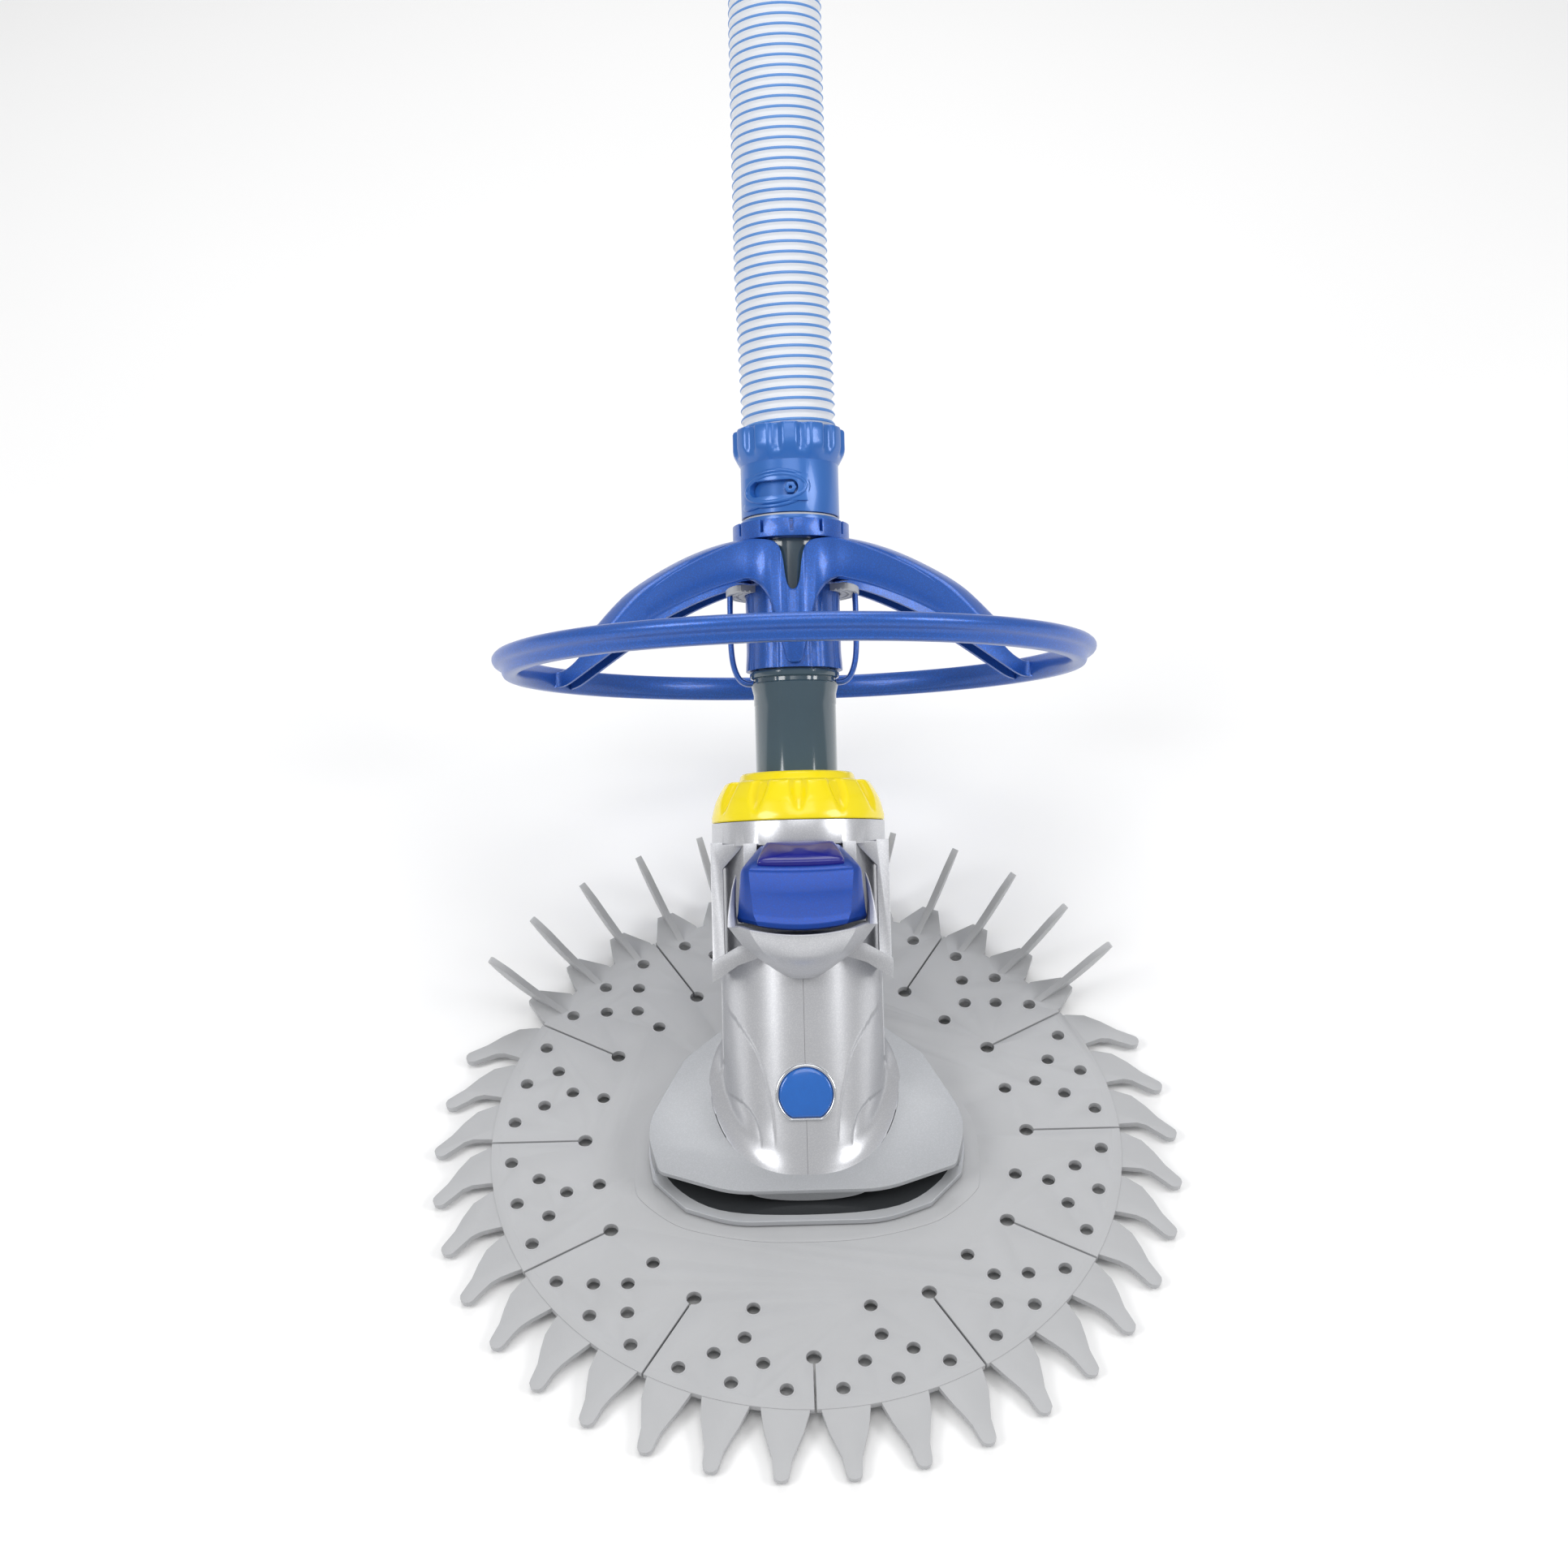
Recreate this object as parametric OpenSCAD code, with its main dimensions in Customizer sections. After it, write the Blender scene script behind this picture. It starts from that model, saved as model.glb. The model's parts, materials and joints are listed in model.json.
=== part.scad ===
// Suction-side diaphragm pool cleaner.
// +Z is up, -Y is the front, and the suction throat's axis is the Z axis.
// The pipe leans back by "tilt" from that axis and carries the nut, the deflector wheel and the hose.

/* [Lean] */
// Lean of the pipe back from upright, degrees
tilt = 45; // [42:1:48]

/* [Foot and throat] */
// Radius of the bore that the water is drawn through
throat_r = 24; // [20:0.5:28]
// Wall of the throat neck
throat_wall = 5; // [3:0.5:7]
// Height of the lower edge of the neck over the floor
throat_lift = 1; // [0.5:0.5:2]
// Outer radius of the foot pad
foot_r = 86; // [70:1:100]
// Height of the foot pad
foot_h = 6.2; // [5:0.2:9]
// Number of slots in the rim of the foot pad
foot_slots = 12; // [6:1:18]

/* [Disc] */
// Thickness of the finned disc
disc_t = 3.5; // [2.5:0.5:5]
// Radius of the bottom of the gaps between the fins
disc_root_r = 173; // [150:1:190]
// Length of a flat fin beyond the root radius
fin_len = 36; // [26:1:42]
// Width of the rounded end of a fin
fin_tip_w = 8; // [6:0.5:10]
// Width of the gap between two fins at the root
fin_gap_w = 6.6; // [5:0.2:8]
// How far the fins are combed to the front, as a share of their length
fin_comb = 0.7; // [0:0.05:0.9]
// Number of fins all round, three to each sector
fin_count = 36; // [36]
// Droop of the flat fins below the disc, degrees
fin_droop = 6; // [0:1:8]
// Number of upright blades at the rear
blade_count = 12; // [6:2:12]
// Height of a blade over the disc
blade_h = 46; // [30:1:50]
// Radius of the vent holes
vent_r = 3.6; // [2.5:0.1:4.5]
// Radius of the hole at the inner end of each slit
slit_hole_r = 4; // [3:0.1:5]
// Width of the slits between sectors
slit_w = 1.2; // [0.8:0.1:3]

/* [Body] */
// Outer radius of the leaning body
body_r = 44.5; // [40:0.5:50]
// Wall of the body shells
body_wall = 3; // [2:0.25:5]
// Height of the flange top over the disc
flange_rise = 20; // [17:0.5:26]
// Thickness of the flange
flange_t = 3; // [2:0.25:4]
// Half width of the flange
flange_half_w = 87; // [80:1:98]
// Distance of the flange's front edge from the throat axis
flange_front = 53; // [50:1:60]
// Distance of the lower lip's front edge from the throat axis
lip_front = 62; // [58:1:70]
// Height of the mouth between the lip and the flange
mouth_h = 11.5; // [8:0.5:13]
// Distance along the pipe to the top of the body
body_top = 171.5; // [165:0.5:190]

/* [Head] */
// Half width across the side rails of the head frame
head_half_w = 48; // [46:0.5:54]
// Width of the bumper cap
cap_w = 64; // [56:1:72]
// Distance of the cap's face in front of the pipe axis
cap_front = 78; // [72:1:86]
// Radius of the round badge on the front
badge_r = 14.5; // [10:0.5:17]

/* [Nut and pipe] */
// Outer radius of the retaining nut
nut_r = 47.6; // [45:0.1:52]
// Height of the gripping part of the nut
nut_h = 22; // [18:0.5:28]
// Number of finger scallops round the nut
nut_lobes = 12; // [8:1:16]
// Outer radius of the outer pipe
pipe_r = 22.5; // [20:0.25:24]
// Wall of the outer pipe
pipe_wall = 1.8; // [1.4:0.1:2.2]
// Outer radius of the inner pipe
inner_pipe_r = 17; // [15:0.25:17.5]
// Distance along the pipe to its top end
pipe_top = 352; // [340:1:360]

/* [Deflector wheel] */
// Outer radius of the ring
ring_r = 166.5; // [140:0.5:185]
// Distance along the pipe to the middle of the ring
ring_l = 261; // [255:0.5:268]
// Height of the ring's section
ring_h = 13; // [10:0.5:16]
// Angle of the two front arms from the front
front_arm_deg = 45; // [38:1:55]
// Angle of the two rear arms from the front
rear_arm_deg = 118; // [110:1:138]
// Width of an arm
arm_w = 15; // [12:0.5:20]
// Distance along the pipe to the foot of the hub
hub_foot = 255.5; // [255:0.5:260]
// Wall of the hub sleeve
hub_wall = 4; // [3:0.25:5]
// Distance along the pipe to the top of the hub
hub_top = 326; // [315:1:330]

/* [Swivel and hose] */
// Radius of the twist-lock cuff
cuff_r = 27.2; // [26.5:0.1:30]
// Wall of the twist-lock cuff
cuff_wall = 2.4; // [1.8:0.1:3]
// Travel of the twist lock, degrees
lock_travel = 42; // [30:1:50]
// Radius of the scalloped collar over the cuff
collar_r = 31.2; // [30:0.1:36]
// Radius over the ribs of the hose
hose_r = 26.3; // [25:0.1:28]
// Length of the end cuff of the hose
end_cuff_len = 46; // [40:1:60]
// Radius of the socket in the end cuff
end_bore_r = 19.1; // [18:0.1:21]

/* [Fits] */
// Radial clearance of a running fit
run_gap = 0.06; // [0.03:0.01:0.1]
// Gap between pieces that move past each other
free_gap = 0.4; // [0.3:0.05:0.8]

/* [Hidden] */
$fn = 96;
e = 0.01;

// Stack of the foot, the disc and the flange, heights over the floor
neck_r = throat_r + throat_wall;
disc_bottom = foot_h + 0.3;
disc_top = disc_bottom + disc_t;
flange_top = disc_top + flange_rise;
flange_bottom = flange_top - flange_t;
lip_top = flange_bottom - mouth_h;
lip_t = lip_top - disc_top - 2;
bush_r = neck_r + 6;
sector = 360 / 12;
fin_step = 360 / fin_count;

// Heel of the body, a sloping underside from the rear edge of the flange
heel_y = 62;
heel_slope = 30;
split_gap = 0.01;
collar_l = body_top - 13;
screw_r = 2;
screw_places = [[54, 40], [72, 4]];
badge_l = 26;
bezel_w = 1.5;

// Head frame, cradle and cap, as distances along the pipe and in front of its axis
rail_w = 6.5;
rail_front = 32;
rail_depth = 14;
bracket_l = 92;
spigot_r = body_r - 8;
spigot_h = 13.5;
nose_back = body_r + 1.5;
cradle_l = 90;
cap_l = 118;
cap_shoulder = 146.5;
cap_top = 158.3;
cap_shoulder_front = cap_front - 5;
cap_top_front = nose_back + 5;

// Water way inside the body
guide_r = 30;
diaphragm_l = 85;
diaphragm_top = 150;
gasket_h = 1.5;

// Pieces on the pipe
nut_bottom = body_top + free_gap;
pipe_foot = body_top + spigot_h + gasket_h;
pipe_foot_t = 3;
nut_seat = pipe_foot + pipe_foot_t - nut_bottom;
hub_bore_r = pipe_r + run_gap;
hub_r = hub_bore_r + hub_wall;
bead_top = hub_foot - free_gap;
bead_r = pipe_r + 2.2;
ring_inner_r = ring_r - 14.5;
arm_root_l = hub_top - 23;
notch_w = 14;
notch_l = arm_root_l - 6;
retainer_l = arm_root_l - 5.5;
hook_l = hub_foot - 6.5;
clip_x = hub_r + 7.4;
lock_ring_l = hub_top + free_gap;
lock_ring_h = 9.6;
lock_ring_r = 32.3;
adaptor_l = lock_ring_l + lock_ring_h + free_gap;
adaptor_wall = cuff_r - cuff_wall - run_gap - pipe_r - run_gap;
adaptor_r = pipe_r + run_gap + adaptor_wall;
adaptor_foot_h = 2.4;
adaptor_h = 28;
swivel_seal_h = 1.2;
cuff_l = adaptor_l + adaptor_foot_h + swivel_seal_h + free_gap;
cuff_h = 29;
collar_base = cuff_l + cuff_h;
collar_h = 20;
hose_l = collar_base + collar_h;
pin_l = cuff_l + 13;
pin_r = 3.4;
pin_shank_r = 2.2;

// Route of the hose in the pipe's own frame: sideways, forwards, and distance past the collar
hose_route = [
    [0, 0, 0], [0, 0, 18], [-0.5, 0, 36], [-1, 0, 54], [-1.5, 0, 72], [-2, 0, 90],
    [-2, 0, 108], [-2, 0, 126], [-2, 0, 144], [-2, 0, 162], [-2, 0, 180], [-2, 0, 198],
    [-2, 0, 216], [-2, 0, 234], [-1.5, 0, 252], [-1, 0, 270], [-0.5, 0, 288], [0, 0, 306],
    [0, 0, 324]
];
hose_sides = 12;
hose_bore_r = 17.6;

// ---------- Shared shapes ----------

// Places its children in the pipe's frame: Z runs along the pipe, -Y points forwards and up.
module along_pipe(l = 0) {
    translate([0, 0, disc_top])
        rotate([-tilt, 0, 0])
            translate([0, 0, l])
                children();
}

// A tube from its outer and inner radius.
module tube(r_out, r_in, h) {
    difference() {
        cylinder(r = r_out, h = h);
        translate([0, 0, -1])
            cylinder(r = r_in, h = h + 2);
    }
}

// Unit vector.
function unit(v) = v / norm(v);

// Points of the arc that rounds the corner p between its neighbours a and b.
function corner(a, p, b, r, n = 4) =
    let (
        u = unit(a - p),
        v = unit(b - p),
        half = acos(max(-1, min(1, u * v))) / 2,
        c = p + unit(u + v) * (r / sin(half)),
        s = p + u * (r / tan(half)),
        t = p + v * (r / tan(half)),
        a0 = atan2(s.y - c.y, s.x - c.x),
        a1 = atan2(t.y - c.y, t.x - c.x),
        sweep = ((a1 - a0 + 540) % 360) - 180
    )
    [for (i = [0:n]) c + r * [cos(a0 + sweep * i / n), sin(a0 + sweep * i / n)]];

// Closed outline through [x, y, radius] corners.
function rounded(path, n = 4) =
    let (k = len(path), xy = [for (p = path) [p.x, p.y]])
    [for (i = [0:k - 1]) each corner(xy[(i + k - 1) % k], xy[i], xy[(i + 1) % k], path[i].z, n)];

// A right-hand half outline completed by its mirror image on the left.
function both_sides(half) =
    concat(half, [for (i = [len(half) - 1:-1:0]) [-half[i].x, half[i].y, half[i].z]]);

// Radius r at angle a, measured from the front round to the right.
function polar(r, a) = [r * sin(a), -r * cos(a)];

// Cubic curve from a to b with handles p and q.
function bezier(a, p, q, b, t) =
    pow(1 - t, 3) * a + 3 * t * pow(1 - t, 2) * p + 3 * t * t * (1 - t) * q + pow(t, 3) * b;

// ---------- Foot and throat ----------

module foot_pad() {
    color("dimgray")
    difference() {
        union() {
            difference() {
                cylinder(r = foot_r, h = foot_h);
                translate([0, 0, -1])
                    cylinder(r = foot_r - 14, h = foot_h - 3);
            }
            translate([0, 0, foot_h - 3.4])
                cylinder(r = foot_r - 10, h = 3.4);
        }
        translate([0, 0, -1])
            cylinder(r = neck_r + run_gap, h = foot_h + 2);
        translate([0, 0, -1])
            cylinder(r = neck_r + 8, h = foot_h - 2.4);
        for (i = [0:foot_slots - 1])
            rotate([0, 0, (i + 0.5) * 360 / foot_slots])
                translate([-3, -foot_r - 1, -1])
                    cube([6, 15, foot_h + 2]);
    }
}

module foot_retaining_ring() {
    color("silver")
    translate([0, 0, throat_lift])
        tube(neck_r + 4, neck_r - 1.5, foot_h - 3.4 - throat_lift - free_gap);
}

module throat_neck() {
    color("silver")
    difference() {
        union() {
            translate([0, 0, throat_lift])
                cylinder(r = neck_r - 1.5, h = flange_bottom - throat_lift);
            translate([0, 0, foot_h - 3.4 - free_gap])
                cylinder(r = neck_r, h = flange_bottom - foot_h + 3.4 + free_gap);
            translate([0, 0, disc_top + free_gap])
                cylinder(r = bush_r + 2, h = lip_top - lip_t - disc_top - free_gap);
        }
        translate([0, 0, -1])
            cylinder(r = throat_r, h = flange_top);
    }
}

// ---------- Disc ----------

// Direction of a fin at angle a: radial, combed to the front.
function fin_dir(a) = unit(polar(1, a) + fin_comb * [0, -1] * abs(sin(a)));

// One side of a fin, root to tip; s is -1 for the left side and 1 for the right.
function fin_side(a, s) =
    let (
        d = fin_dir(a),
        n = [-d.y, d.x],
        root = polar(disc_root_r + 1, a + s * (fin_step / 2 - asin(fin_gap_w / 2 / disc_root_r))),
        mid = polar(disc_root_r, a) + d * fin_len,
        tip = mid - d * fin_tip_w / 2 + s * n * fin_tip_w / 2,
        lean = polar(disc_root_r + fin_len * 0.45, a + s * fin_step * 0.3)
    )
    [for (t = [0:0.25:1]) bezier(root, lean, tip - d * fin_len * 0.35, tip, t)];

// Rounded end of a fin, from its left side to its right.
function fin_end(a) =
    let (d = fin_dir(a), n = [-d.y, d.x], c = polar(disc_root_r, a) + d * (fin_len - fin_tip_w / 2))
    [for (t = [-60:30:60]) c + fin_tip_w / 2 * (cos(t) * d + sin(t) * n)];

// Outline of one flat fin, with a foot that runs into the disc.
function fin_outline(a) =
    let (left = fin_side(a, -1), right = fin_side(a, 1))
    concat(
        [polar(disc_root_r - 6, a - fin_step / 2 + 0.6)],
        left, fin_end(a), [for (i = [len(right) - 1:-1:0]) right[i]],
        [polar(disc_root_r - 6, a + fin_step / 2 - 0.6)]
    );

// Flat tab at the rear that an upright blade stands on.
function tab_outline(a) = [
    polar(disc_root_r - 6, a - fin_step / 2 + 0.6), polar(disc_root_r + 1, a - fin_step * 0.42),
    polar(disc_root_r + 17, a - 1.5), polar(disc_root_r + 17, a + 1.5),
    polar(disc_root_r + 1, a + fin_step * 0.42), polar(disc_root_r - 6, a + fin_step / 2 - 0.6)
];

// Upright blade: a horn drawn in its own radial plane, x outwards and y up.
blade_lean = 30;
blade_shape = [
    [-8, 0], [-2, 5], [6, 14], [13, 26], [19, 38], [25, blade_h - 2], [28, blade_h],
    [31, blade_h - 3], [30, 32], [27, 20], [22, 10], [16, 3], [12, 0]
];

module blade(a) {
    rotate([0, 0, a])
        translate([0, -disc_root_r, disc_top - 1])
            rotate([0, -blade_lean * sin(a), 0])
                rotate([90, 0, -90])
                    translate([0, 0, -1.75])
                        linear_extrude(height = 3.5)
                            polygon(blade_shape);
}

module finned_disc() {
    rear_half = blade_count / 2 * fin_step;
    color("darkgray")
    difference() {
        union() {
            translate([0, 0, disc_bottom])
                cylinder(r = disc_root_r - 1, h = disc_t);
            for (i = [0:fin_count - 1]) {
                a = (i + 0.5) * fin_step;
                if (abs(a - 180) > rear_half)
                    rotate([0, 0, a])
                        translate([0, -disc_root_r + 6, disc_bottom])
                            rotate([fin_droop, 0, 0])
                                translate([0, disc_root_r - 6, 0])
                                    rotate([0, 0, -a])
                                        linear_extrude(height = disc_t)
                                            polygon(fin_outline(a));
                else {
                    translate([0, 0, disc_bottom])
                        linear_extrude(height = disc_t)
                            polygon(tab_outline(a));
                    blade(a);
                }
            }
        }
        translate([0, 0, disc_bottom - 1])
            cylinder(r = bush_r, h = disc_t + 2);
        for (k = [0:11])
            rotate([0, 0, k * sector])
                disc_sector_cuts(k == 0 ? 142 : 121);
    }
}

// Slit and vent holes of one 30 degree sector; slit_from is where its slit starts.
module disc_sector_cuts(slit_from) {
    translate([0, -slit_from, disc_bottom - 1])
        cylinder(r = slit_hole_r, h = disc_t + 2);
    translate([-slit_w / 2, -disc_root_r - 8, disc_bottom - 8])
        cube([slit_w, disc_root_r + 8 - slit_from, disc_t + 12]);
    for (v = [[116, 15], [134, 15], [147, 10], [147, 20], [161, 5], [161, 15], [161, 25]])
        rotate([0, 0, v[1]])
            translate([0, -v[0], disc_bottom - 2])
                cylinder(r = vent_r, h = disc_t + 4);
}

module disc_bush() {
    color("white")
    translate([0, 0, disc_bottom])
        tube(bush_r, neck_r + run_gap, disc_t);
}

// ---------- Flange and mouth ----------

// Outline of the flange, drawn in by "inset".
function flange_outline(inset) =
    rounded(both_sides([
        [40, -flange_front + inset, 60], [flange_half_w - 8 - inset, -38 + inset, 6],
        [flange_half_w - inset, -8, 40], [66 - inset, 40 - inset, 16], [40 - inset, 66 - inset, 20]
    ]), 5);

// Outline of the lower lip of the mouth, which juts out past the flange at the front.
function lip_outline(inset) =
    rounded(both_sides([
        [40, -lip_front + inset, 60], [65 - inset, -52 + inset, 5],
        [flange_half_w - 4 - inset, -32 + inset, 5], [flange_half_w - inset, -8, 40],
        [66 - inset, 40 - inset, 16], [40 - inset, 66 - inset, 20]
    ]), 5);

// Puts its children at the four screws, at height z.
module at_screws(z) {
    for (s = [-1, 1], p = screw_places)
        translate([s * p.x, p.y, z])
            children();
}

module mouth_plate() {
    color("silver")
    difference() {
        translate([0, 0, lip_top - lip_t])
            linear_extrude(height = lip_t)
                polygon(lip_outline(0));
        translate([0, 0, -1])
            cylinder(r = neck_r, h = flange_top);
        at_screws(0)
            cylinder(r = screw_r, h = flange_top);
    }
}

module flange_plate() {
    color("silver")
    difference() {
        union() {
            translate([0, 0, flange_bottom])
                linear_extrude(height = flange_t)
                    polygon(flange_outline(0));
            difference() {
                translate([0, 0, lip_top])
                    linear_extrude(height = flange_bottom - lip_top)
                        polygon(flange_outline(0));
                translate([0, 0, lip_top - 1])
                    linear_extrude(height = flange_t + mouth_h)
                        polygon(flange_outline(3));
                translate([-100, -100, lip_top - 1])
                    cube([200, 72, mouth_h + 1]);
            }
            at_screws(lip_top)
                cylinder(r = 2.5 * screw_r, h = mouth_h);
        }
        at_screws(0)
            cylinder(r = screw_r, h = flange_bottom);
        translate([0, 0, flange_bottom - 1])
            cylinder(r = throat_r, h = flange_t + 2);
    }
}

// ---------- Body shells ----------

// Wedge under the sloping heel, raised by "inset".
module below_heel(inset, size = 300) {
    rotate([90, 0, 90])
        translate([0, 0, -size / 2])
            linear_extrude(height = size)
                polygon([
                    [heel_y - inset, flange_top - size], [heel_y - inset, flange_top + inset],
                    [heel_y - inset + size * cos(heel_slope), flange_top + inset + size * sin(heel_slope)],
                    [heel_y + size, flange_top - size]
                ]);
}

// Leaning tube of radius r from height "low" up to distance "top" along the pipe, cut by the heel.
module body_form(r, low, top, inset = 0) {
    difference() {
        along_pipe(-50)
            cylinder(r = r, h = top + 50);
        translate([-200, -200, low - 400])
            cube([400, 800, 400]);
        below_heel(inset);
    }
}

// Half of the body: s is -1 for the left one and 1 for the right one.
module body_shell(s) {
    difference() {
        body_form(body_r, flange_top, collar_l);
        body_form(body_r - body_wall, flange_top - 5, collar_l + 5, body_wall);
        badge_seat(badge_r + bezel_w);
        translate([s > 0 ? split_gap - 100 : -split_gap, -100, 0])
            cube([100, 500, 400]);
    }
}

// Round seat for the badge, square to the front of the body.
module badge_seat(r, from = 30, to = 60) {
    along_pipe(badge_l)
        rotate([90, 0, 0])
            translate([0, 0, from])
                cylinder(r = r, h = to - from);
}

module body_left_shell() {
    color("silver")
    body_shell(-1);
}

module body_right_shell() {
    color("gainsboro")
    body_shell(1);
}

// Screws that hold the lower lip to the flange, put in from below.
module body_screws() {
    color("dimgray")
    at_screws(lip_top - lip_t) {
        cylinder(r = screw_r, h = flange_bottom - lip_top + lip_t);
        translate([0, 0, -1.4])
            cylinder(r = 2 * screw_r, h = 1.4);
    }
}

module badge_bezel() {
    color("silver")
    difference() {
        badge_seat(badge_r + bezel_w, body_r - body_wall - 1, body_r + 1.5);
        badge_seat(badge_r);
    }
}

module badge() {
    color("royalblue")
    intersection() {
        badge_seat(badge_r, body_r - body_wall - 1, body_r + 4);
        along_pipe(badge_l)
            rotate([90, 0, 0])
                translate([0, 0, body_r + 3 - 3 * badge_r])
                    sphere(r = 3 * badge_r);
    }
}

// ---------- Head frame, cradle and cap ----------

module head_frame() {
    color("silver")
    difference() {
        union() {
            along_pipe(collar_l)
                cylinder(r = head_half_w - 0.3, h = body_top - collar_l);
            along_pipe(body_top)
                cylinder(r = spigot_r, h = spigot_h);
            for (s = [-1, 1])
                along_pipe()
                    head_frame_side(s);
        }
        along_pipe(0)
            cylinder(r = body_r, h = collar_l);
        along_pipe(0)
            cylinder(r = spigot_r - 5, h = 300);
    }
}

// Rail, gusset, post and bracket arm of one side, in the pipe's frame.
module head_frame_side(s) {
    rail_x = head_half_w - rail_w;
    translate([s > 0 ? rail_x : -head_half_w, -rail_front, bracket_l])
        cube([rail_w, rail_depth, collar_l - bracket_l + 2]);
    rotate([90, 0, 0]) {
        translate([0, 0, rail_front - rail_depth])
            linear_extrude(height = 46 - rail_front + rail_depth)
                polygon([
                    [s * head_half_w, bracket_l - 6], [s * head_half_w, bracket_l + 5],
                    [s * 34, bracket_l + 13], [s * 16, bracket_l + 17], [s * 16, bracket_l + 9],
                    [s * 34, bracket_l + 3]
                ]);
        translate([0, 0, rail_front - rail_depth])
            linear_extrude(height = rail_depth)
                polygon([
                    [s * head_half_w, collar_l + 1], [s * rail_x, collar_l - 12],
                    [s * (rail_x - 12), collar_l + 1]
                ]);
        translate([s > 0 ? 23 : -30, 138, body_r - 7])
            cube([7, collar_l - 137, 6]);
    }
}

// Slab of the cradle or cap at distance l: half width w, from the body out to "front".
module nose_slab(l, w, front, back, h = 1, r = 8) {
    translate([0, 0, l])
        linear_extrude(height = h)
            polygon(rounded(both_sides([
                [w * 0.72, -front, r], [w, -front + 14, r], [w, -back, 1]
            ]), 4));
}

// Outside of the cap, drawn in by "inset".
module cap_form(inset, low) {
    back = nose_back + inset;
    half_w = cap_w / 2 - inset;
    hull() {
        nose_slab(low, half_w, cap_front - inset, back);
        nose_slab(cap_shoulder - 1 - inset, half_w - 2, cap_shoulder_front - inset, back);
        translate([-half_w + 10, -cap_top_front, cap_top - 1 - inset])
            cube([2 * half_w - 20, cap_top_front - back + e, 1]);
    }
}

module bumper_cap() {
    color("mediumblue")
    along_pipe()
        difference() {
            cap_form(0, cap_l);
            cap_form(2.5, cap_l - 5);
        }
}

module bumper_cradle() {
    color("silver")
    along_pipe()
        difference() {
            union() {
                hull() {
                    nose_slab(cap_l - 2, cap_w / 2 + 6, cap_front + 5, nose_back - 8, 3.6);
                    nose_slab(cap_l - 14, cap_w / 2 - 1, cap_front - 8, nose_back - 8);
                    nose_slab(cradle_l, 9, nose_back + 3, nose_back - 8, 1, 3);
                }
                for (s = [-1, 1])
                    rotate([90, 0, s * 90])
                        translate([0, 0, cap_w / 2 + 1.2])
                            linear_extrude(height = 4)
                                polygon([
                                    [-s * 38, cap_l - 2], [-s * 70, cap_l - 2], [-s * 60, cap_l + 8],
                                    [-s * 50, cap_l + 23], [-s * 38, cap_l + 24]
                                ]);
            }
            translate([-100, -nose_back - free_gap / 4, 0])
                cube([200, 200, 300]);
            nose_slab(cap_l, cap_w / 2 + 1, cap_front + 1, nose_back, 30);
        }
}

module cap_lens() {
    slope = atan2(cap_top - cap_shoulder, cap_shoulder_front - cap_top_front);
    color("navy")
    along_pipe()
        translate([0, -(cap_shoulder_front + cap_top_front) / 2, (cap_shoulder + cap_top) / 2])
            rotate([slope, 0, 0])
                translate([0, 0, 0.05])
                    linear_extrude(height = 1.6)
                        polygon(rounded([[-21, -10, 3], [21, -10, 3], [16, 10, 3], [-16, 10, 3]], 4));
}

module nose_weight() {
    color("gray")
    along_pipe(cap_l)
        translate([-18, -cap_front + 12, 0])
            cube([36, cap_front - nose_back - 16, 20]);
}

// ---------- Inside the body ----------

module cassette_guide() {
    socket_h = 10;
    inset = body_wall + 1;
    color("whitesmoke")
    difference() {
        union() {
            body_form(guide_r, flange_top, diaphragm_l, inset);
            translate([0, 0, flange_top])
                cylinder(r = throat_r + 4, h = socket_h);
        }
        body_form(guide_r - 4, flange_top + 3, diaphragm_l + 5, inset + 3);
        translate([0, 0, flange_top - 1])
            cylinder(r = throat_r, h = socket_h + 2);
    }
}

module diaphragm() {
    h = diaphragm_top - diaphragm_l;
    r = guide_r;
    color("black")
    along_pipe(diaphragm_l)
        rotate_extrude()
            polygon([
                [r - 4, 0], [r + 2, 0], [r + 2, 4], [r - 1, 8], [r - 6, h * 0.5], [r - 7, h - 14],
                [inner_pipe_r + 5, h - 8], [inner_pipe_r + 5, h], [inner_pipe_r - 2, h],
                [inner_pipe_r - 2, h - 12], [r - 10, h * 0.5], [r - 5, 10]
            ]);
}

module diaphragm_ring() {
    color("whitesmoke")
    along_pipe(diaphragm_top - 7)
        tube(inner_pipe_r + 9, inner_pipe_r + 5, 6);
}

module nut_gasket() {
    color("black")
    along_pipe(body_top + spigot_h)
        tube(spigot_r, spigot_r - 5, gasket_h);
}

// ---------- Nut and pipes ----------

module retaining_nut() {
    color("gold")
    along_pipe(nut_bottom)
        difference() {
            rotate_extrude()
                polygon([
                    [spigot_r + free_gap, 0], [nut_r, 0], [nut_r, 3], [nut_r - 1.5, nut_h * 0.4],
                    [nut_r - 6.5, nut_h - 2], [nut_r - 8.5, nut_h], [pipe_r + 10, nut_h],
                    [pipe_r + 9, nut_h + 3], [pipe_r + 6, nut_h + 5], [pipe_r + free_gap, nut_h + 5],
                    [pipe_r + free_gap, nut_seat], [spigot_r + free_gap, nut_seat]
                ]);
            for (i = [0:nut_lobes - 1])
                rotate([0, 0, i * 360 / nut_lobes])
                    translate([0, -nut_r + 5.2, nut_h + 1])
                        rotate([-24, 0, 0])
                            translate([0, 0, -nut_h * 0.78])
                                cylinder(r = 5.5, h = nut_h + 10);
        }
}

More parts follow.
